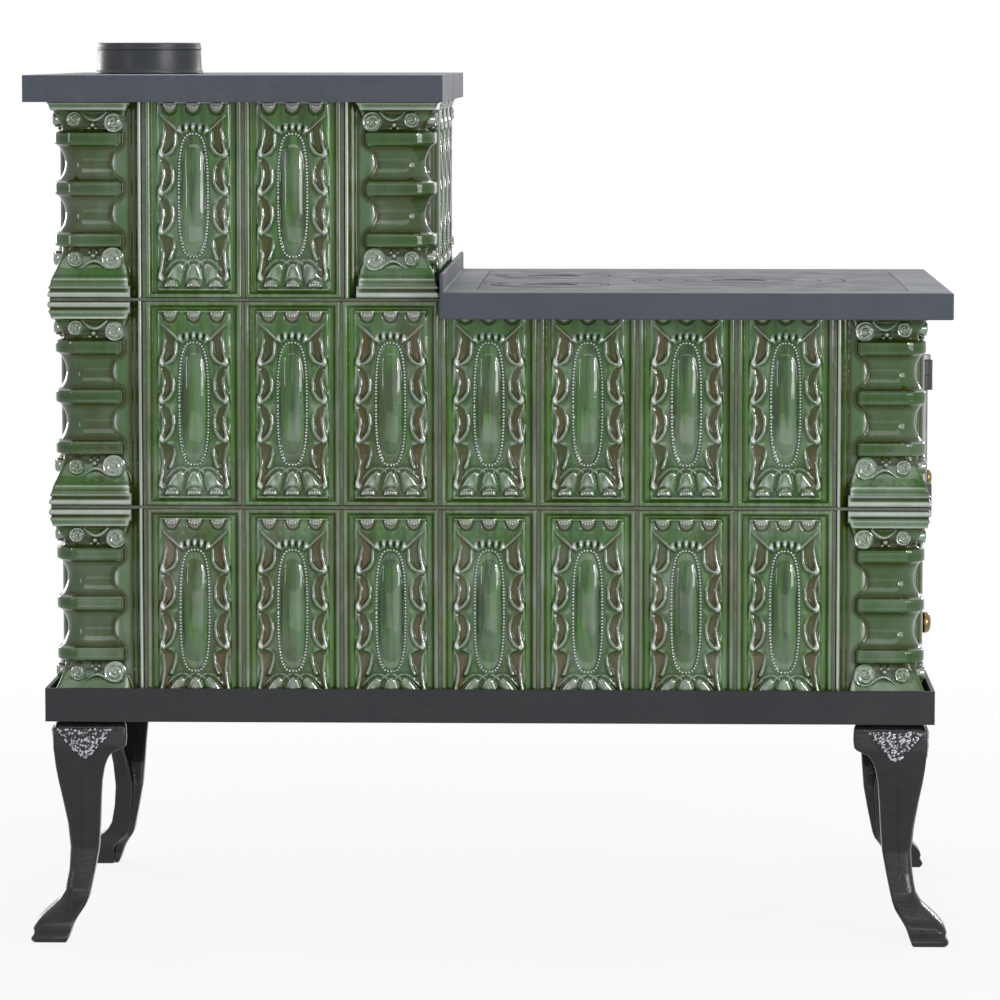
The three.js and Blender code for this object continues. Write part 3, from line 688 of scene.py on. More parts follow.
def makeFloor():
    builder = Builder()
    half, z = studio["floorSize"] / 2, studio["floorHeight"]
    builder.cap(builder.ring([(-half, -half, z), (half, -half, z), (half, half, z), (-half, half, z)]))
    mesh = builder.mesh("floor")
    material, tree, shader, vector = startMaterial(
        "paleFloor", **{"Roughness": 0.9, "Specular IOR Level": 0.1})
    grit = ramp(tree, noise(tree, vector, 3.0, 3.0), 0.3, 0.7, 0.985, 1.0)
    color = mixColor(tree, grit, studio["gritColor"], studio["floorColor"])
    tree.links.new(color, shader.inputs["Base Color"])
    distance = addNode(tree, "ShaderNodeVectorMath", operation="LENGTH")
    tree.links.new(vector, distance.inputs[0])
    near, far = studio["nearReach"], studio["farReach"]
    fade = ramp(tree, distance.outputs["Value"], near, far, studio["whiteShare"], 1.0)
    share = maths(tree, "MULTIPLY", seenDirectly(tree), fade)
    glow = addNode(tree, "ShaderNodeEmission", plainWhite)
    mixShaders(tree, share, shader, glow, tree.nodes["Material Output"])
    mesh.materials.append(material)
    newObject("floor", mesh)


def hangLamps():
    for name, (place, aim, width, height, brightness) in studio["lamps"].items():
        lamp = bpy.data.lights.new(name, "AREA")
        lamp.shape = "RECTANGLE"
        lamp.size = width
        lamp.size_y = height
        lamp.energy = brightness * math.pi * width * height
        holder = newObject(name, lamp)
        holder.location = place
        holder.visible_camera = False
        holder.rotation_euler = (Vector(aim) - Vector(place)).to_track_quat("-Z", "Y").to_euler()


makeCamera()
makeWorld()
makeFloor()
hangLamps()
bpy.context.scene.view_settings.view_transform = "Standard"
print("camera and studio made")


# Flat tiles

tile = {
    "width": 102.0, "height": 219.5, "back": 44.0, "pitch": 105.0,
    "spread": 1.0,  # the glazed face reaches this far past the tile's nominal size on each side
    "spacing": 0.95,
    "floorDepth": 8.0,  # of the channel, behind the corner mouldings
    "rim": ([0, 0.5, 1.3, 2.6, 4.6, 5.9, 6.8, 7.8], [1.4, 3.1, 3.9, 4.3, 4.2, 3.3, 0.9, 0.0]),
    "panelHalf": 39.0, "panelTop": 100.5, "panelBottom": 102.5,
    "ovalHalf": 15.6, "ovalTall": 65.5, "cushion": 0.83,
    "beadPitch": 3.45, "beadRadius": 1.4,
    "drops": (-25.0, 0.0, 25.0), "petals": (-23.5, 0.0, 23.5), "petalDropsApart": 1.02,
    # short fingers over the oval, fanned out and standing lower towards the sides
    "fingers": (-2, -1, 0, 1, 2), "fingerPitch": 7.3, "fingerFall": 0.9,
    "cluster": (-2, -1, 0, 1, 2), "clusterPitch": 2.8, "clusterRadius": 1.3,
    # drapery folds down each side: heights and distances from the middle of the inner and the outer ridge
    "folds": (
        (([80, 74, 67, 53, 46, 41.5], [23.0, 20.3, 19.0, 19.6, 24.0, 31.5]),
         ([86, 76, 67, 56, 47, 41.5], [33.0, 31.2, 30.6, 32.3, 34.6, 36.4])),
        (([39.5, 34, 23, 13.6, 6.8, 1.0], [31.0, 24.4, 21.9, 22.5, 26.6, 33.0]),
         ([39.5, 30, 21.8, 12.3, 5.5, 1.0], [36.2, 33.0, 31.8, 33.3, 35.8, 37.0])),
        (([-1.0, -5, -13.6, -21.8, -30, -36, -41.0], [33.0, 26.4, 22.5, 21.8, 23.8, 27.8, 33.0]),
         ([-1.0, -13.6, -21.8, -32.7, -41.0], [37.0, 33.4, 32.2, 34.2, 36.8])),
        (([-42.5, -43.5, -47, -56, -63, -70], [32.0, 24.5, 20.4, 21.2, 23.8, 26.0]),
         ([-42.5, -56, -65.5, -77.8, -90.5], [36.8, 33.5, 32.8, 34.4, 37.0])),
    ),
    # share of the way down a ridge: its height and half width
    "ridge": ([0.0, 0.25, 0.6, 0.85, 0.95, 1.0], [1.6, 2.4, 3.4, 4.9, 5.2, 4.2],
              [1.3, 1.7, 2.2, 3.0, 3.0, 2.6]),
    # the seam below the plain field: distances from the middle, heights
    "seam": ([10, 13, 18, 24, 30, 36.5], [66.0, 66.6, 69.4, 75.0, 81.0, 87.0]),
    "field": ([64, 70, 80, 90, 101], [3.9, 3.3, 2.5, 2.1, 2.2]),
}


def ovalDistance(x, z):
    # millimetres from the long oval's edge, negative inside, and the share of the way out from its middle
    a, b = tile["ovalHalf"], tile["ovalTall"]
    r = ((np.abs(x) / a) ** 3 + (np.abs(z) / b) ** 3) ** (1 / 3) + 1e-6
    slope = np.sqrt((x * x / a ** 3) ** 2 + (z * z / b ** 3) ** 2) / (r * r) + 1e-3
    return (r - 1) / slope, r


def softCurve(value, places, levels, reach=1.8):
    # a line through points, with its corners rounded off
    total = 0
    order = np.argsort(places)
    places, levels = np.array(places, float)[order], np.array(levels, float)[order]
    for step, weight in ((-1, 0.15), (-0.5, 0.22), (0, 0.26), (0.5, 0.22), (1, 0.15)):
        total = total + weight * np.interp(value + step * reach, places, levels)
    return total


def ridgeDistance(ax, z, line):
    # millimetres across a ridge line, the share of the way down it, and one along its length
    slope = softCurve(z + 0.5, *line) - softCurve(z - 0.5, *line)
    across = (ax - softCurve(z, *line)) / np.sqrt(1 + slope * slope)
    down = (line[0][0] - z) / (line[0][0] - line[0][-1])
    return across, np.clip(down, 0, 1), smoothstep(-0.03, 0.04, down) * smoothstep(1.03, 0.98, down)


def rounded(distance, half):
    return np.sqrt(np.maximum(0, 1 - (distance / half) ** 2))


def drapery(ax, z):
    # the cloth down each side of the oval, and where its glaze turns amber
    cloth = 1.6 + 0.3 * np.cos(z / 6.5) + 0.35 * np.sin(ax / 2.6 + z / 5.0) * smoothstep(17, 22, ax)
    for level in (42.0, 0.5, -41.5):
        cloth = cloth + 1.1 * hump(z - level, 6.0) * smoothstep(13.0, 31.0, ax)
    relief = cloth
    amber = np.zeros_like(ax)
    for innerLine, outerLine in tile["folds"]:
        inside, down, live = ridgeDistance(ax, z, innerLine)
        outside, outerDown, outerLive = ridgeDistance(ax, z, outerLine)
        hollow = (inside > 0) & (outside < 0)
        share = np.clip(inside / np.maximum(inside - outside, 0.5), 0, 1)
        relief = np.where(hollow, relief * (1 - outerLive) + (0.7 + 1.7 * share ** 2) * outerLive, relief)
        amber = np.maximum(amber, hollow * outerLive * (0.4 + 0.6 * hump(share - 0.62, 0.24)))
        for across, way, on, gentle in ((inside, down, live, 3.4), (outside, outerDown, outerLive, 1.6)):
            lift = np.interp(way, tile["ridge"][0], tile["ridge"][1])
            half = np.interp(way, tile["ridge"][0], tile["ridge"][2])
            slack = 0.92 * np.exp(-(np.abs(across) / gentle) ** 1.3) * (across < 0)
            relief = np.maximum(relief, lift * on * np.maximum(rounded(across, half), slack))
        tip = outerLine[0][-1]
        relief = np.maximum(relief, 5.7 * np.exp(-((ax - 34.4) / 2.4) ** 2 - ((z - tip - 0.6) / 2.0) ** 2))
    return relief, amber


def tileRelief(x, z):
    # height above the channel for a tile centred on the origin, and where its glaze turns amber
    ax = np.abs(x)
    reach = tile["spread"]
    edge = np.minimum(tile["width"] / 2 + reach - ax, tile["height"] / 2 + reach - np.abs(z))
    height = np.interp(edge, *tile["rim"])
    rimAmber = 0.75 * hump(edge - 7.6, 1.3) + 0.6 * hump(edge - 0.9, 1.0)
    fromEnd = np.where(z > 0, tile["panelTop"] - z, tile["panelBottom"] + z)
    panel = smoothstep(-0.6, 0.9, np.minimum(tile["panelHalf"] - ax, fromEnd))
    relief, amber = drapery(ax, z)

    # plain field under the drops, drawn together over the oval
    seam = np.interp(ax, *tile["seam"])
    steep = np.gradient(np.array(tile["seam"][1]), np.array(tile["seam"][0]))
    above = (z - seam) / np.sqrt(1 + np.interp(ax, tile["seam"][0], steep) ** 2)
    field = smoothstep(-0.4, 1.4, above) * smoothstep(37.5, 35.5, ax)
    pleats = 0.28 * np.sin(x / 1.9 + 0.7 * np.sin(z / 7)) * smoothstep(96, 74, z) * smoothstep(28, 12, ax)
    relief = relief * (1 - field) + field * (np.interp(z, *tile["field"]) + pleats)
    amber = amber * (1 - field)
    seamLift = np.interp(ax, [9, 14, 22, 36], [4.6, 5.2, 4.2, 2.6])
    seamLift = seamLift * smoothstep(8, 12, ax) * smoothstep(37, 34, ax)
    relief = np.maximum(relief, seamLift * rounded(above, 1.9))
    for k in tile["fingers"]:
        centre = k * tile["fingerPitch"]
        if k < tile["fingers"][-1]:
            gap = hump(x - centre - tile["fingerPitch"] / 2, 1.1)
            relief = relief * (1 - 0.75 * gap * smoothstep(66, 68, z) * smoothstep(77, 73, z))
        lean = (x - centre - 0.14 * k * (z - 72)) / 2.9
        tall = (z - 72.3 + tile["fingerFall"] * k * k) / 5.2
        relief = np.maximum(relief, 5.9 * np.sqrt(np.maximum(0, 1 - lean ** 2 - tall ** 2)))

    # drops hung from the panel's top edge, and its bottom edge
    relief = np.where(z > 97.5, np.maximum(relief, 2.4 + 1.3 * hump(z - 99.2, 0.9)), relief)
    relief = np.where(z < -98.6, np.maximum(relief, 1.6 + 2.0 * hump(z + 100.8, 1.0)), relief)
    for cx in tile["drops"]:
        d = np.sqrt(((x - cx) / 8.2) ** 2 + ((z - 99.5) / 12.0) ** 2)
        relief = np.where((d < 1.25) & (z < 98), np.maximum(relief - 1.2 * hump(d - 1.1, 0.1), 0.8), relief)
        drop = np.where((d < 1) & (z < 99.5), 2.2 + 3.0 * np.sqrt(np.maximum(0, 1 - d * d)), 0)
        relief = np.maximum(relief, drop)
        amber = np.maximum(amber, hump(d - 0.8, 0.25) * (z < 98) * (z > 80))

    # three round-headed petals that lean outwards, each over a half-round drop
    for cx in tile["petals"]:
        t = np.clip((-72.0 - z) / 24.0, 0, 1)
        axis = cx * (0.62 + 0.38 * t)
        half = 9.9 * np.sqrt(np.clip(1 - (1 - t) ** 2.4, 0.0, 1)) + 0.2
        across = (x - axis) / half
        low = (z < -72) & (z > -97)
        dome = (1 - np.abs(across) ** 2.4) * np.interp(t, [0, 0.12, 0.5, 1.0], [0.55, 0.9, 1.0, 0.75])
        relief = np.where((np.abs(across) < 1) & low, 1.2 + 3.6 * np.maximum(dome, 0) ** 0.6, relief)
        arch = (np.abs(x - axis * 0.96) / 12.4) ** 2.2 + (np.maximum(z + 84, 0) / 15.0) ** 2.2
        ring = hump((arch - 1) * 6.0, 1.0) * smoothstep(-88, -80, z) * smoothstep(30.5, 28.5, ax)
        relief = np.maximum(relief, (1.4 + 1.9 * ring) * (ring > 0.05) * (arch > 0.8))
    for cx in tile["petals"]:
        d = np.sqrt(((x - cx * tile["petalDropsApart"]) / 8.4) ** 2 + ((z + 98.0) / 8.6) ** 2)
        relief = np.where((d < 1.2) & (z > -98), np.maximum(relief - 1.6 * hump(d - 1.08, 0.09), 0.8), relief)
        drop = np.where((d < 1) & (z > -98.0), 2.6 + 3.2 * np.sqrt(np.maximum(0, 1 - d * d)), 0)
        relief = np.maximum(relief, drop)
        amber = np.maximum(amber, 0.7 * hump(d - 0.5, 0.3) * (z > -98) * (z < -84))

    # the oval: a seat for its beads, a groove and a cushion
    distance, share = ovalDistance(x, z)
    relief = np.where(distance < 3.0, np.maximum(relief * smoothstep(0.8, 3.0, distance), 1.7), relief)
    inside = np.clip(share / tile["cushion"], 0, 1)
    cushion = 0.8 + 5.2 * np.maximum(0, 1 - inside ** 2) ** 0.75
    relief = np.where(distance < -1.7, cushion, relief)
    amber = np.where(distance < 1.0, 0.0, amber)
    amber = np.maximum(amber * panel, rimAmber * (1 - panel))
    return height * (1 - panel) + np.maximum(relief, 0.6) * panel, np.clip(amber, 0, 1)


def tileMasks(x, z, height, amber):
    # how the glaze lies on the flat tile, and its value on the beads
    thinAndGlint, poolAndShade, shine = glazeMasks(height, tile["spacing"])
    distance, _ = ovalDistance(x, z)
    thinAndGlint = 0.5 * thinAndGlint * smoothstep(-3.5, -1.0, np.abs(distance) - 3.0)
    poolAndShade = np.maximum(poolAndShade * smoothstep(-6.0, 0.0, distance), hump(distance, 2.0))
    # painted shade: the oval is darkened left of its middle, less so towards its foot
    shadedOvalLeft = 0.55 * smoothstep(-1.5, -4.0, distance) * smoothstep(5.0, -3.0, x) * smoothstep(-34.0, 5.0, z)
    poolAndShade = np.maximum(poolAndShade, shadedOvalLeft)
    shine = np.where(distance < -3.0, 0.25, shine) * (1 - 0.8 * hump(distance, 2.0))
    streak = np.where(distance < 0, 1.0, 0.55)
    # the channel between rim and panel is clear deep green, its rim dull
    edge = np.minimum(tile["panelHalf"] - np.abs(x), tile["panelTop"] - np.abs(z))
    outside = smoothstep(0.5, -0.8, edge)
    rim = outside * smoothstep(0.6, 2.4, height)
    poolAndShade = poolAndShade * (1 - outside * (1 - 0.5 * rim))
    shine = shine * (1 - 0.6 * outside)
    thinAndGlint = thinAndGlint * (1 - 0.5 * outside)
    clear = outside * (1 - rim) * 0.75
    # painted reflection: pale milky colour low on the oval, in a stripe down its right side and over the
    # cloth
    low = smoothstep(-16.0, -32.0, z + 9.0 * smoothstep(4.0, 11.0, np.abs(x + 1.0)))
    reflectedStripe = 1.3 * hump(x - 6.4, 3.6) * smoothstep(58, 46, z)
    clothReflection = 0.45 * (1 - hump(np.abs(x) - 34.0, 8.0) * 0.6)
    paintedReflection = np.where(distance < -2.5, np.maximum(0.75 * low, reflectedStripe), clothReflection) * (1 - 0.6 * outside)
    # painted glints: pale spots on the fold tips, the fingers and the petals
    tipGlints = np.zeros_like(x)
    for _, (heights, places) in tile["folds"]:
        dz = z - heights[-1]
        tipGlints = np.maximum(tipGlints, hump(dz - 3.4, 5.2) * hump(np.abs(x) - places[-1] + 3.0 - 0.22 * dz, 2.6))
    for k in tile["fingers"]:
        dz = z - 74.0 + tile["fingerFall"] * k * k
        tipGlints = np.maximum(tipGlints, hump(np.hypot(x - k * tile["fingerPitch"], dz * 0.6), 2.3))
    for cx in tile["petals"]:
        tipGlints = np.maximum(tipGlints, 0.55 * hump(x - 0.85 * cx, 4.5) * hump(z + 84.0, 9.0))
    thinAndGlint = np.maximum(0.62 * thinAndGlint, 1.15 * tipGlints * (1 - outside))
    # the beads get painted glints (0.9) and some painted reflection (0.3)
    return {"thinAndGlint": (thinAndGlint, 0.9), "poolAndShade": (poolAndShade, 0.0), "amber": (amber, 0.0), "shine": (shine, 1.0),
            "streak": (streak, 0.0), "clear": (clear, 0.0), "paintedReflection": (paintedReflection, 0.3)}


def makeTileMesh():
    wide = tile["width"] / 2 + tile["spread"]
    tall = tile["height"] / 2 + tile["spread"]
    columns = int(round(2 * wide / tile["spacing"])) + 1
    rows = int(round(2 * tall / tile["spacing"])) + 1
    x, z = np.meshgrid(np.linspace(-wide, wide, columns), np.linspace(-tall, tall, rows))
    height, amber = tileRelief(x, z)
    height = softened(height, 1)
    amber = softened(amber, 2)
    builder = Builder()
    grid = np.stack([x, tile["floorDepth"] - height, z], axis=-1).reshape(-1, 3)
    builder.points = [tuple(p) for p in grid]
    _, builder.faces, border = gridQuads(rows, columns)
    back = builder.ring([(builder.points[i][0], tile["back"], builder.points[i][2]) for i in border])
    builder.bridge(back, border)
    builder.cap(back, flip=True)
    addTileBeads(builder)
    mesh = builder.mesh("flatTile", 60.0)
    setMasks(mesh, tileMasks(x, z, height, amber), len(back))
    bareBack(mesh, lambda middle: middle.y > (tile["back"] - 0.5) * mm)
    return mesh


def addTileBeads(builder):
    def beadAt(bx, bz, radius, lift):
        h = float(tileRelief(np.array([[bx]]), np.array([[bz]]))[0][0, 0])
        bead(builder, (bx, tile["floorDepth"] - h - lift, bz), radius, 0.9)

    # beads round the oval, evenly spaced along its edge
    angles = np.linspace(0, 2 * math.pi, 2000, endpoint=False)
    power = 2 / 3
    ox = tile["ovalHalf"] * np.sign(np.cos(angles)) * np.abs(np.cos(angles)) ** power
    oz = tile["ovalTall"] * np.sign(np.sin(angles)) * np.abs(np.sin(angles)) ** power
    steps = np.hypot(np.diff(ox, append=ox[0]), np.diff(oz, append=oz[0]))
    along = np.concatenate([[0], np.cumsum(steps)])
    count = int(along[-1] / tile["beadPitch"])
    for k in range(count):
        i = int(np.searchsorted(along, k / count * along[-1])) % len(angles)
        beadAt(float(ox[i]), float(oz[i]), tile["beadRadius"], 0.5)
    # clusters in the drops
    clusters = [(cx, 94.0, 0.5) for cx in tile["drops"]]
    clusters += [(cx * tile["petalDropsApart"], -94.5, -0.45) for cx in tile["petals"]]
    for cx, z, bend in clusters:
        for k in tile["cluster"]:
            beadAt(cx + k * tile["clusterPitch"], z + bend * k ** 2, tile["clusterRadius"], 0.3)


settling = {"sideways": 0.2, "depth": 0.3, "turn": 0.1}  # millimetres, millimetres, degrees


def tilesBetween(length):
    # how many flat tiles stand between the corner tiles of a wall, and the joint beside each
    count = int(round(length / tile["pitch"])) - 2
    return count, (length - (count + 2) * tile["width"]) / (count + 1)


def tilt():
    return Matrix.Rotation(math.radians(chance.uniform(-1, 1) * settling["turn"]), 4, "Y")


def layTiles():
    # each wall's tiles are spread evenly between its corner tiles
    mesh = makeTileMesh()
    for node in sorted(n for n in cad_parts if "_tile_course_" in n):
        side, _, _, row = node.split("_")
        right = rowRight(row)
        length = right - bodyLow[0] if side in ("front", "back") else bodyHigh[1] - bodyLow[1]
        origin = {"front": (bodyLow[0], bodyLow[1]), "right": (right, bodyLow[1]),
                  "back": (right, bodyHigh[1]), "left": (bodyLow[0], bodyHigh[1])}[side]
        count, joint = tilesBetween(length)
        turn = quarterTurns(walls[side])
        start = Vector((*origin, span(node)[0][2]))
        for k in range(count):
            along = (k + 1) * (tile["width"] + joint) + tile["width"] / 2
            offset = turn @ Vector((along + chance.uniform(-1, 1) * settling["sideways"],
                                    chance.uniform(0, 1) * settling["depth"], tile["height"] / 2))
            place = Matrix.Translation((start + offset) * mm) @ turn @ tilt()
            addPiece(f"{node}_{k + 1}", mesh, greenGlaze, "stove", [node], place)
    print("flat tiles laid")


layTiles()


# Corner tiles

def hollow(low, high):
    # the waist between two bands of the corner pillar: levels with their depth, reach and rounding
    bulge = [math.sin(math.pi * k / 16) ** 0.9 for k in range(1, 16)]
    return [(low + (high - low) * k / 16, 9.2 + 7.2 * b, 77.5 - 8.5 * b, 26 - 2.5 * b)
            for k, b in enumerate(bulge, 1)]


corner = {
    "arm": 102.0, "spacing": 1.45, "baseDepth": 13.0, "rimWidth": 12, "mouldingTall": 20, "mitreTall": 14,
    "bend": 11,  # steps from a face to the middle of the rounding
    "rim": ([0, 0.8, 2.4, 4.0, 5.6, 7.2, 10.5, 12.0], [7.5, 4.9, 3.7, 4.2, 7.0, 9.0, 10.5, 12.0]),
    # from the foot or the head inwards: torus, groove, fillet, and the start of the flare
    "moulding": ([0, 0.8, 3.5, 6.5, 7.6, 9.0, 10.4, 11.6, 13.0, 16.0, 20.0],
                 [4.0, 1.2, 0.0, 0.8, 2.8, 3.2, 1.6, 1.0, 2.2, 3.4, 3.9]),
    # height, depth of the faces, reach from the corner, rounding
    "levels": ((0, 0.5, 88, 2.5), (14, 2.5, 88, 2.5), (20, 4, 88, 2.5), (32, 9.5, 85, 3.5), (45, 14, 80, 6),
               (51, 14.2, 79, 12), (54, 13.0, 78, 18), (54.9, 6.6, 78.5, 26), (56, 5.7, 79, 27),
               (67.2, 5.7, 79, 27), (68.3, 6.8, 78.5, 27),
               (69.2, 9.2, 77.5, 26), *hollow(69.2, 108.8), (108.8, 9.2, 77.5, 26),
               (109.7, 6.7, 78.5, 27), (110.8, 5.7, 79, 27), (122.2, 5.7, 79, 27), (123.3, 6.8, 78.5, 27),
               (124.2, 9.2, 77.5, 26), *hollow(124.2, 162.4), (162.4, 9.2, 77.5, 26), (163.3, 6.7, 78.5, 27),
               (164.4, 5.7, 79, 27), (175.6, 5.7, 79, 27), (176.7, 6.7, 78.5, 26), (177.8, 13.0, 78, 18),
               (181, 14.6, 79, 12), (186, 14.0, 80, 6), (195, 9.5, 84, 3.5), (205, 4.0, 88, 2.5),
               (210, 2.5, 88, 2.5), (219.5, 0.5, 88, 2.5)),
    # distance from the corner, height, radius, way round
    "volutes": ((72.0, 187.5, 10.5, 1), (30.0, 190.0, 8.0, -1), (70.0, 42.0, 12.0, -1), (30.0, 42.0, 8.0, 1)),
    # height, up or down
    "scrolls": ((187.5, 1), (42.0, -1)), "scrollFrom": 64.0, "scrollLong": 27.0, "scrollSteps": 24,
    # distance from the corner, fall, radius
    "scrollDrops": ((49.0, 3.0, 3.0), (45.0, 6.5, 1.7), (52.5, 6.5, 1.7)), "dropDepth": 9.5,
}


def cornerDepth(u, z):
    # depth behind the outermost moulding at a distance u from the corner along a face,
    # and the pillar's depth and rounding at that height
    levels = np.array(corner["levels"], float)
    depth = np.interp(z, levels[:, 0], levels[:, 1])
    reach = np.interp(z, levels[:, 0], levels[:, 2])
    rounding = np.interp(z, levels[:, 0], levels[:, 3])
    fromEnd = np.minimum(z, tile["height"] - z)
    moulded = np.interp(fromEnd, *corner["moulding"])
    depth = np.where(fromEnd < corner["mouldingTall"], moulded, depth)
    inset = corner["arm"] - u
    rim = np.interp(inset, *corner["rim"])
    inRim = inset < corner["rimWidth"]
    besidePillar = np.where(inRim, rim, corner["baseDepth"])
    shaft = smoothstep(reach + 1.6, reach - 1.6, u)
    mitred = np.where(inRim, np.maximum(rim, depth), depth)
    result = np.where(fromEnd < corner["mitreTall"], mitred, besidePillar * (1 - shaft) + depth * shaft)
    return result, depth, rounding


def makeCornerMesh():
    # stands at the front left corner: the corner edge at the origin, arms along +X and +Y
    rows = int(round(tile["height"] / corner["spacing"])) + 1
    heights = np.linspace(0, tile["height"], rows)
    straight = np.concatenate([np.arange(corner["arm"], 58.0, -1.3), np.linspace(57.0, 46.0, 5)])
    arcAngles = [math.pi / 4 * k / corner["bend"] for k in range(corner["bend"] + 1)]
    depths = []
    grid = []
    for z in heights:
        level = np.full_like(straight, z)
        depth, pillar, rounding = cornerDepth(straight, level)
        d, r = float(pillar[-1]), float(rounding[-1])
        face = [(u, v) for u, v in zip(straight, depth)]
        start = straight[-1]
        face += [(start + (d + r - start) * k / 4, d) for k in (1, 2, 3)]
        arc = [(d + r - r * math.sin(a), d + r - r * math.cos(a)) for a in arcAngles]
        half = face + arc
        whole = half + [(b, a) for a, b in reversed(half[:-1])]
        grid.append([(x, y, z) for x, y in whole])
        values = [v for _, v in face] + [d] * len(arc)
        depths.append(values + values[-2::-1])
    inward = np.array(depths)
    builder = Builder()
    builder.points = [p for row in grid for p in row]
    number, builder.faces, _ = gridQuads(rows, len(grid[0]), flip=True)
    arm, back = corner["arm"], tile["back"]
    inner = [builder.ring([(back, arm, z), (back, back, z), (arm, back, z)]) for z in (0, tile["height"])]
    builder.cap([int(i) for i in number[0]] + inner[0])
    builder.cap([int(i) for i in number[-1]] + inner[1], flip=True)
    builder.faces += [(inner[0][k], inner[1][k], inner[1][k + 1], inner[0][k + 1]) for k in (0, 1)]
    for column, k in ((-1, 0), (0, 2)):
        side = [int(i) for i in number[:, column]]
        builder.cap(side + [inner[1][k], inner[0][k]], flip=column == 0)
    for facing in (0, 1):
        for u, z, radius, way in corner["volutes"]:
            addVolute(builder, u, z, radius, way, facing)
        addScrolls(builder, facing)
    mesh = builder.mesh("cornerTile", 60.0)
    setMasks(mesh, cornerMasks(inward))
    bareBack(mesh, lambda middle: min(middle.x, middle.y) > (tile["back"] - 0.5) * mm)
    return mesh


def cornerMasks(inward):
    # how the glaze lies on the corner tile, by how far its face lies inward, and on its volutes and scrolls
    height = softened(-inward, 1)
    thinAndGlint, poolAndShade, shine = glazeMasks(height, corner["spacing"] * 0.8)
    # painted shade: the pillar's flat bands are darkened
    shadedBands = smoothstep(6.6, 5.9, inward) * smoothstep(4.6, 5.4, inward)
    besideBands = smoothstep(8.0, 6.5, inward) * smoothstep(4.6, 5.4, inward)
    # painted reflection in the hollows and on the shallow mouldings
    paintedReflection = smoothstep(8.5, 15.0, inward) + 0.5 * smoothstep(4.8, 3.5, inward)
    return {
        # the volutes and scrolls get painted glints (0.38)
        "thinAndGlint": (0.6 * thinAndGlint * (1 - 0.5 * besideBands), 0.38),
        "poolAndShade": (np.maximum(poolAndShade, 0.6 * shadedBands), 0.0),
        "amber": (0.75 * softened(poolAndShade, 2), 0.1),
        "shine": (shine * (1 - 0.75 * shadedBands), 1.0),
        "streak": (np.full_like(inward, 0.3), 0.3),
        "clear": (np.full_like(inward, 0.15), 0.15),
        "paintedReflection": (paintedReflection, 0.6),
    }


outwards = ((0, -1, 0), (-1, 0, 0))  # of the two faces that meet at the front left corner


def faceMatrix(facing, u, depth, z):
    # from a face's own plane (x along, y up, z outwards) to the corner tile
    if facing == 0:
        axes = Matrix(((1, 0, 0), (0, 0, -1), (0, 1, 0)))
        return Matrix.Translation((u, depth, z)) @ axes.to_4x4()
    axes = Matrix(((0, 0, -1), (-1, 0, 0), (0, 1, 0)))
    return Matrix.Translation((depth, u, z)) @ axes.to_4x4()


volute = {"rings": 14, "sides": 40, "turns": 2.6, "face": 1.6, "eye": 1.6, "root": -9.0, "depth": 7.6}


def addVolute(builder, u, z, radius, way, facing):
    # a round drum whose face carries a spiral ridge round a raised eye
    way = way if facing == 0 else -way
    rings, sides = volute["rings"], volute["sides"]
    pitch = radius / volute["turns"]
    vertices = [(0, 0, volute["face"] + 2.0)]
    faces = []
    for k in range(1, rings + 1):
        r = radius * k / rings
        fall = 1.5 * (k / rings) ** 6
        for i, a in enumerate(fullTurn(sides)):
            turn = (r / pitch - way * i / sides) % 1.0
            ridge = 1.5 * (0.5 + 0.5 * math.cos(2 * math.pi * turn)) ** 1.5
            lift = volute["eye"] if r < pitch * 0.5 else ridge
            vertices.append((r * math.cos(a), r * math.sin(a), volute["face"] + lift - fall))
    vertices += [(x, y, volute["root"]) for x, y, _ in vertices[-sides:]]
    for i in range(sides):
        j = (i + 1) % sides
        faces.append((0, 1 + i, 1 + j))
        for k in range(rings):
            a, b = 1 + k * sides, 1 + (k + 1) * sides
            faces.append((a + i, b + i, b + j, a + j))
    faces.append(tuple(1 + rings * sides + i for i in reversed(range(sides))))
    builder.add(vertices, faces, faceMatrix(facing, u, volute["depth"], z))


def addScrolls(builder, facing):
    # the bands that lead from the large volute to the small one, and the drops between them
    for z, up in corner["scrolls"]:
        path = []
        radii = []
        for k in range(corner["scrollSteps"] + 1):
            t = k / corner["scrollSteps"]
            u = corner["scrollFrom"] - corner["scrollLong"] * t
            lift = up * (10.5 - 15.0 * math.sin(math.pi * t) * 0.55)
            depth = 8.2 - 1.2 * math.sin(math.pi * t)
            path.append(faceMatrix(facing, u, depth, z + lift).translation)
            radii.append(0.5 + 1.3 * math.sin(math.pi * min(1.0, t + 0.15)) ** 0.7)
        tube(builder, path, radii)
        for u, fall, radius in corner["scrollDrops"]:
            centre = faceMatrix(facing, u, corner["dropDepth"], z - up * fall).translation
            bead(builder, centre, radius, 1.0, 10, outwards[facing])


def standCorners():
    mesh = makeCornerMesh()
    for node in sorted(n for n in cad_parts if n.startswith("corner_tile_")):
        low, high = span(node)
        where = node.split("_", 3)[3]
        x = low[0] if where.endswith("left") else high[0]
        y = low[1] if where.startswith("front") else high[1]
        place = at(x, y, low[2]) @ quarterTurns(corners[where]) @ tilt()
        addPiece(f"{node}_glazed", mesh, greenGlaze, "stove", [node], place)
    print("corner tiles stood")


standCorners()


# Clay in the joints

jointClay = {"recess": 4.6, "deep": 20.0, "arm": 100.0, "lip": 2.6, "gap": 3.0}


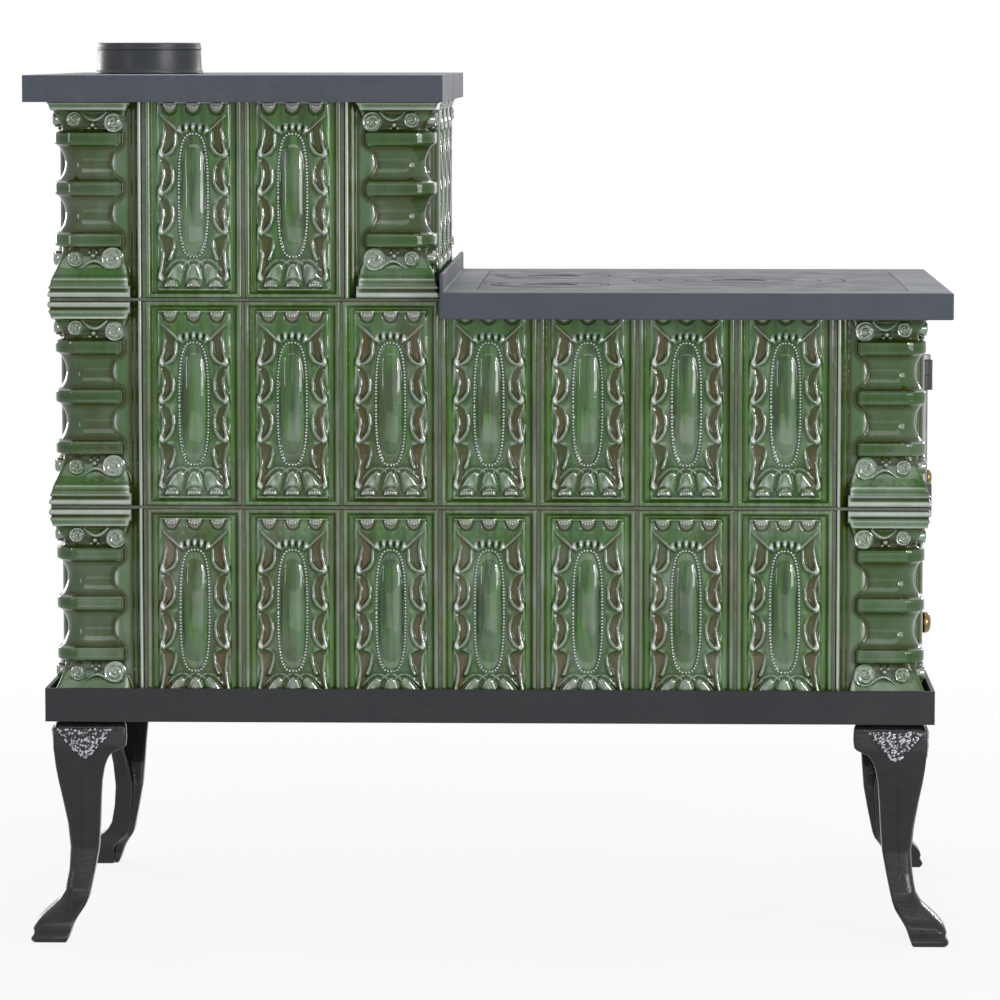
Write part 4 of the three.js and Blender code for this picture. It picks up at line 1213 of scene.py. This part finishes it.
def fillJoints():
    # strips of clay in the gaps between a row's tiles and a bed of it between one row and the next
    r, deep, arm, lip = (jointClay[key] for key in ("recess", "deep", "arm", "lip"))
    x0, y0, y1 = bodyLow[0], bodyLow[1], bodyHigh[1]
    for row in ("lower", "middle", "upper"):
        low, high = span(f"corner_tile_{row}_front_left")
        x1 = rowRight(row)
        builder = Builder()
        for side in ("front", "back", "left", "right"):
            if side == "right" and row != "upper":
                continue
            count, joint = tilesBetween(x1 - x0 if side in ("front", "back") else y1 - y0)
            for k in range(count + 1):
                middle = (k + 1) * (tile["width"] + joint) - joint / 2
                a, b = middle - joint / 2, middle + joint / 2
                strip = {
                    "front": (x0 + a, y0 + r, x0 + b, y0 + deep), "back": (x1 - b, y1 - deep, x1 - a, y1 - r),
                    "left": (x0 + r, y1 - b, x0 + deep, y1 - a), "right": (x1 - deep, y0 + a, x1 - r, y0 + b),
                }[side]
                plate(builder, roundedRectangle(*strip, 0.3, 1), [(0.0, high[2] - 1.0), (0.0, low[2] + 0.3)])
        edge = [(0.0, high[2] + jointClay["gap"]), (0.0, high[2])]
        if row == "lower":
            # open at the door end, where the door frame stands
            bed = [
                (x1 - lip, y0 + arm), (x1 - deep, y0 + arm), (x1 - deep, y0 + deep), (x0 + deep, y0 + deep),
                (x0 + deep, y1 - deep), (x1 - deep, y1 - deep), (x1 - deep, y1 - arm), (x1 - lip, y1 - arm),
                (x1 - lip, y1 - lip), (x0 + lip, y1 - lip), (x0 + lip, y0 + lip), (x1 - lip, y0 + lip),
            ]
            plate(builder, lambda _: bed, edge)
        elif row == "middle":
            ring = roundedRectangle(x0 + lip, y0 + lip, x1 - lip, y1 - lip, 2.0, 3)
            hole = roundedRectangle(x0 + deep, y0 + deep, x1 - deep, y1 - deep, 1.0, 2)
            plate(builder, ring, edge, [(hole, edge)])
        mesh = builder.mesh(f"jointClay_{row}")
        addPiece(f"joint_clay_{row}", mesh, materials["jointClay"], "stove")
    print("joints filled")


fillJoints()


# Plates, frames and linings: CAD nodes with rounded edges

# node: finish, edge radius in millimetres
keptNodes = {
    "base_tray": ("trayPaint", 1.3), "crown_plate": ("platePaint", 2.2), "hob_frame": ("platePaint", 2.0),
    "door_frame": ("doorIron", 1.2), "fire_door": ("doorIron", 1.3),
    "fire_door_heat_shield": ("doorIron", 0.8), "fire_door_hinge_pin": ("rawSteel", 0.6),
    "latch_lever": ("doorIron", 1.4),
    "ash_drawer_front": ("doorIron", 1.0), "ash_pan": ("rawSteel", 0.5), "air_slider": ("rawSteel", 0.5),
    "grate": ("doorIron", 1.2), "hearth_slab": ("fireclay", 2.0), "firebox_lining_front": ("fireclay", 2.0),
    "firebox_lining_back": ("fireclay", 2.0), "grate_ledge_front": ("fireclay", 2.0),
    "grate_ledge_back": ("fireclay", 2.0), "firebox_bridge": ("fireclay", 2.5),
    "door_surround": ("fireclay", 2.0), "partition_wall": ("fireclay", 2.0),
    "down_draught_baffle": ("fireclay", 2.0),
    **{f"leg_bolt_{where}": ("rawSteel", 0.7) for where in corners},
}
softening = {"weld": 0.01, "flat": 1.0, "corner": 35.0}  # millimetres, degrees, degrees


def softenEdges(thing, radius, steps):
    weld = thing.modifiers.new("weld", "WELD")
    weld.merge_threshold = softening["weld"] * mm
    flats = thing.modifiers.new("flats", "DECIMATE")
    flats.decimate_type = "DISSOLVE"
    flats.angle_limit = math.radians(softening["flat"])
    bevel = thing.modifiers.new("edges", "BEVEL")
    bevel.width = radius * mm
    bevel.segments = steps
    bevel.limit_method = "ANGLE"
    bevel.angle_limit = math.radians(softening["corner"])


def dressKeptNodes():
    for node, (finish, radius) in keptNodes.items():
        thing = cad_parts[node]
        thing.data.materials.clear()
        thing.data.materials.append(materials[finish])
        softenEdges(thing, radius, 2 if node.startswith("leg_bolt_") else 3)
    print("plates, doors and linings dressed")


dressKeptNodes()


# Flue collar, hob plate, rings and lids

hob = {
    "step": 3.8, "thick": 7.2, "edge": 0.9, "chamfer": 1.6, "ledge": 6.0, "clearance": 0.8,
    "round": 96, "collarRound": 128,
    "dish": 31.0, "dishDepth": 1.5, "slotLong": 28.0, "slotWide": 8.0, "slotDepth": 5.0,
    "rings": {"burner_ring_outer": ("outer_ring", 90.0), "burner_ring_inner": ("inner_ring", 60.0)},
    "lids": {"burner_lid": "big_lid", "small_lid_front": "front_lid", "small_lid_back": "back_lid"},
}
hobTop = span("hob_plate")[1][2]
hobStep = hobTop - hob["step"]
hobFoot = hobTop - hob["thick"]


def makeCollar():
    low, high = span("flue_collar")
    foot = span("crown_plate")[1][2] + 0.3
    top = high[2]
    profile = [
        (49.5, low[2]), (52.6, low[2]), (53.0, low[2] + 0.5), (53.0, foot), (59.3, foot), (59.9, foot + 0.6),
        (59.7, foot + 2.2), (58.6, foot + 3.4), (58.1, foot + 6.0), (57.6, foot + 16.0), (57.2, top - 8.5),
        (57.9, top - 7.9), (58.1, top - 6.9), (57.9, top - 5.9), (57.2, top - 5.3), (57.0, top - 1.4),
        (56.4, top - 0.5), (55.4, top), (53.4, top), (52.6, top - 0.6), (52.2, top - 2.0),
        (50.2, foot + 6.0), (49.2, foot + 2.0), (49.0, low[2] + 0.4),
    ]
    builder = Builder()
    turned(builder, profile, hob["collarRound"])
    addPiece("flue_collar_turned", builder.mesh("flueCollar", 30.0), materials["collarPaint"], "stove",
             ["flue_collar"], at(*middleOf("flue_collar")))


def outerRadius(node):
    low, high = span(node)
    return (high[0] - low[0]) / 2


def makeHobPlate():
    low, high = span("hob_plate")
    builder = Builder()
    edge = roundEdge(hob["edge"], high[2]) + [(0.0, low[2] + 0.5), (0.5, low[2])]
    rebate = [(-x, z) for x, z in roundEdge(hob["chamfer"], high[2])]
    rebate += [(0.0, hobStep), (hob["ledge"], hobStep), (hob["ledge"], low[2])]
    holes = []
    for node in ("burner_ring_outer", "small_lid_front", "small_lid_back"):
        radius = outerRadius(node) + hob["clearance"]
        holes.append((circle(*middleOf(node), radius, hob["round"]), rebate))
    plate(builder, roundedRectangle(low[0], low[1], high[0], high[1], 4.0), edge, holes)
    piece = addPiece("hob_plate_cast", builder.mesh("hobPlate", 30.0), materials["hobIron"], "stove",
                     ["hob_plate"])
    piece.modifiers.new("normals", "WEIGHTED_NORMAL").keep_sharp = True


def rimProfile(outer):
    # the outside of a ring or lid, up from its foot, past the step it rests on, to its chamfered top edge
    e = hob["chamfer"]
    return [
        (outer - 6.4, hobFoot), (outer - 6, hobFoot + 0.4), (outer - 6, hobStep + 0.3),
        (outer, hobStep + 0.3), (outer, hobTop - e), (outer - 0.2 * e, hobTop - 0.4 * e), (outer - e, hobTop),
    ]


def addHobPiece(builder, node, body):
    mesh = builder.mesh(node + "Cast", 30.0)
    addPiece(f"{node}_cast", mesh, materials["hobIron"], body, [node], at(*middleOf(node)))


def makeRings():
    # each ring has a step of its own for the next piece
    for node, (body, inner) in hob["rings"].items():
        e = hob["chamfer"]
        profile = [
            (inner - 6, hobFoot), *rimProfile(outerRadius(node)), (inner + e, hobTop),
            (inner + 0.2 * e, hobTop - 0.4 * e), (inner, hobTop - e), (inner, hobStep), (inner - 6, hobStep),
        ]
        builder = Builder()
        turned(builder, profile, hob["round"])
        addHobPiece(builder, node, body)


def slotOutline(inset):
    long = hob["slotLong"] / 2 - inset
    wide = hob["slotWide"] / 2 - inset
    return roundedRectangle(-long, -wide, long, wide, 1.6, 3)(0)


def makeLids():
    # a lid with a shallow dish, a slot for the lifter and a fine groove inside its edge
    dish, floor = hob["dish"], hobTop - hob["dishDepth"]
    for node, body in hob["lids"].items():
        outer = outerRadius(node)
        profile = [
            *rimProfile(outer), (outer - 5, hobTop), (outer - 5.6, hobTop - 0.5), (outer - 7.0, hobTop - 0.5),
            (outer - 7.6, hobTop), (dish + 0.8, hobTop), (dish, hobTop - 0.3), (dish - 1.5, floor + 0.3),
            (dish - 2.6, floor), (20.0, floor),
        ]
        builder = Builder()
        rings = [builder.level([(r * math.cos(a), r * math.sin(a)) for a in fullTurn(hob["round"])], z)
                 for r, z in profile]
        builder.loft(rings)
        builder.fill(rings[0], [], flip=True)
        slotTop = builder.level(slotOutline(-0.5), floor)
        slotEdge = builder.level(slotOutline(0), floor - 0.5)
        slotFloor = builder.level(slotOutline(0), hobTop - hob["slotDepth"])
        builder.bridge(slotFloor, slotEdge)
        builder.bridge(slotEdge, slotTop)
        builder.fill(rings[-1], [slotTop])
        builder.cap(slotFloor)
        addHobPiece(builder, node, body)


makeCollar()
makeHobPlate()
makeRings()
makeLids()
print("hob made")


# Legs

leg = {
    # height, outer face, inner edge of the wings, thickness, roundness of the nose, of the wings' edges
    "levels": (
        (0, -20.5, 15, 30, 5, 2), (1.5, -22.6, 16.4, 31, 6, 2.5), (5, -23.4, 17.4, 32, 7, 3),
        (8, -21.8, 18.6, 32, 7, 3), (10, -19.8, 19.4, 32, 5, 2), (11.5, -19.6, 19.8, 32, 5, 2),
        (14, -21.4, 20.6, 32, 9, 4), (19, -20.2, 22.6, 32, 11, 5), (24, -17.0, 25.4, 32, 12, 5),
        (29, -12.4, 28.6, 32, 12, 5), (36, -4.0, 33.4, 31, 12, 5), (43, 4.2, 36.2, 26, 11, 4.5),
        (53, 10.4, 38.4, 22.5, 10, 4), (73, 14.2, 42.6, 20, 9, 4), (97, 16, 47, 20, 8, 4),
        (123, 13.6, 49, 18, 7, 4), (150, 8.6, 50.6, 15.5, 7, 4), (172, 4.4, 52.4, 13.5, 6, 4),
        (188, 2.0, 55.4, 12, 5, 3.5), (198, 0.9, 59.4, 12, 5, 3), (204, 0.4, 64.5, 12, 4, 3),
        (207.5, 0.0, 74, 12.2, 3.5, 3), (211, 0.0, 78.4, 12.2, 3.5, 4), (219, 0.0, 79.5, 12.2, 4, 4.5),
        (227, 0.0, 79.2, 12.2, 5, 4.5), (233, 2.0, 78.4, 12, 6, 3), (237.5, 6.0, 76, 10, 5, 2),
    ),
    "steps": 2.4, "inset": 7, "pebbles": 190,
    "padMiddle": 38.0, "padRadius": 20.0, "padTop": 237.6, "padFoot": 229.0,
    # the apron: its top, height, middle, half width at the top and the rows and columns of its grid
    "apronTop": 230.0, "apronTall": 33.0, "apronMiddle": 34.0, "apronHalf": 31.0, "apronRows": 13,
    "apronColumns": 25,
}


def legLevel(height):
    rows = np.array(leg["levels"], float)
    return [float(np.interp(height, rows[:, 0], rows[:, k])) for k in range(1, 6)]


def filleted(corners, steps=4):
    # a closed outline with rounded corners, given as (x, y, radius)
    points = []
    count = len(corners)
    for i, (x, y, radius) in enumerate(corners):
        before, after = Vector(corners[i - 1][:2]), Vector(corners[(i + 1) % count][:2])
        here = Vector((x, y))
        into, out = (here - before), (after - here)
        reach = min(radius, into.length * 0.45, out.length * 0.45)
        a = here - into.normalized() * reach
        b = here + out.normalized() * reach
        for k in range(steps + 1):
            t = k / steps
            points.append(tuple((1 - t) ** 2 * a + 2 * t * (1 - t) * here + t * t * b))
    return points


def legSection(height):
    out, inner, thick, nose, edge = legLevel(height)
    back = out + thick
    deep = min(back, inner - 1.0)
    return filleted([
        (out, out, nose), (inner, out, edge), (inner, deep, edge), (deep, deep, 6.0), (deep, inner, edge),
        (out, inner, edge)])


def makeLegMesh():
    # stands at the front left: its nose points to -X and -Y
    builder = Builder()
    top = leg["levels"][-1][0]
    rings = [builder.level(legSection(z), z) for z in np.linspace(0, top, int(top / leg["steps"]) + 1)]
    builder.loft(rings)
    builder.fill(rings[0], [], flip=True)
    builder.fill(rings[-1], [])
    for facing in (0, 1):
        addApron(builder, facing)
    pad = circle(leg["padMiddle"], leg["padMiddle"], leg["padRadius"], 32)
    plate(builder, pad, [(0, leg["padTop"]), (0, leg["padFoot"])])
    plain = len(builder.faces)
    for facing in (0, 1):
        addPebbles(builder, facing)
    mesh = builder.mesh("leg", 35.0)
    mesh.materials.append(materials["legEnamel"])
    mesh.materials.append(materials["legStipple"])
    for face in mesh.polygons[plain:]:
        face.material_index = 1
    return mesh


def onLegFace(facing, along, height, lift):
    out = legLevel(height)[0]
    x, y = along, out - lift
    return (x, y, height) if facing == 0 else (y, x, height)


def addApron(builder, facing):
    # a raised apron that points down a face, and a spine below it
    spine = [(31.0 - 0.02 * (200 - z), z) for z in np.linspace(196, 66, 27)]
    points = [onLegFace(facing, along, z, -0.2) for along, z in spine]
    last = len(points) - 1
    tube(builder, points, [0.5 + math.sin(math.pi * k / last) for k in range(len(points))])
    rows, columns = leg["apronRows"], leg["apronColumns"]
    vertices = []
    for i in range(rows):
        t = i / (rows - 1)
        z = leg["apronTop"] - t * leg["apronTall"]
        half = leg["apronHalf"] * (1 - t) ** 0.75 + 3.0
        ends = min(1.0, (1 - t) * 4 + 0.35) * min(1.0, t * 5 + 0.3)
        for j in range(columns):
            s = -1 + 2 * j / (columns - 1)
            lift = 1.9 * max(0.0, 1 - abs(s) ** 4) ** 0.5 * ends
            vertices.append(onLegFace(facing, leg["apronMiddle"] + s * half, z, lift - 0.35))
    _, faces, border = gridQuads(rows, columns, flip=True)
    start = len(vertices)
    for i in border:
        x, y, z = vertices[i]
        vertices.append((x, y + 3.0, z) if facing == 0 else (x + 3.0, y, z))
    count = len(border)
    for k in range(count):
        after = (k + 1) % count
        faces.append((border[k], border[after], start + after, start + k))
    faces.append(tuple(start + k for k in range(count)))
    if facing == 1:
        faces = [tuple(reversed(f)) for f in faces]
    builder.add(vertices, faces)


def addPebbles(builder, facing):
    # the stippled face of the apron
    grains = random.Random(11 + facing)
    for _ in range(leg["pebbles"]):
        t = grains.random() ** 1.25
        z = 229.0 - t * 31.0
        half = (30.0 * (1 - t) ** 0.75 + 1.5) * 0.94
        along = leg["apronMiddle"] + grains.uniform(-1, 1) * half
        s = (along - leg["apronMiddle"]) / (half + 0.1)
        lift = 1.35 * max(0.0, 1 - abs(s) ** 4) ** 0.5
        centre = onLegFace(facing, along, z, lift)
        bead(builder, centre, grains.uniform(0.9, 2.0), 0.8, 6, outwards[facing])


def standLegs():
    mesh = makeLegMesh()
    low, high = span("base_tray")
    for where, turns in corners.items():
        x = low[0] + leg["inset"] if where.endswith("left") else high[0] - leg["inset"]
        y = low[1] + leg["inset"] if where.startswith("front") else high[1] - leg["inset"]
        addPiece(f"leg_{where}_cast", mesh, materials["legEnamel"], "stove", [f"leg_{where}"],
                 at(x, y) @ quarterTurns(turns))
    print("legs stood")


standLegs()


# Knobs

knob = {
    "round": 40,
    # shares of the radius and of the length
    "profile": (
        (0, 0), (0.62, 0), (0.66, 0.03), (0.62, 0.06), (0.5, 0.09), (0.44, 0.2), (0.44, 0.26), (0.54, 0.3),
        (0.56, 0.33), (0.54, 0.36), (0.66, 0.4), (0.86, 0.48), (0.97, 0.58), (1.0, 0.68), (0.96, 0.79),
        (0.84, 0.89), (0.62, 0.955), (0.36, 0.99), (0.3, 0.975), (0.16, 0.985), (0, 1.0),
    ),
}


def makeKnob(node, body):
    low, high = span(node)
    length = high[0] - low[0]
    radius = (high[1] - low[1]) / 2
    builder = Builder()
    turned(builder, [(radius * r, length * t) for r, t in knob["profile"]], knob["round"])
    place = at(low[0], (low[1] + high[1]) / 2, (low[2] + high[2]) / 2) @ Matrix.Rotation(math.pi / 2, 4, "Y")
    mesh = builder.mesh(node + "Turned", 40.0)
    addPiece(f"{node}_turned", mesh, materials["knobBrass"], body, [node], place)


makeKnob("latch_grip", "latch")
makeKnob("ash_drawer_knob", "ash_drawer")
print("knobs turned")
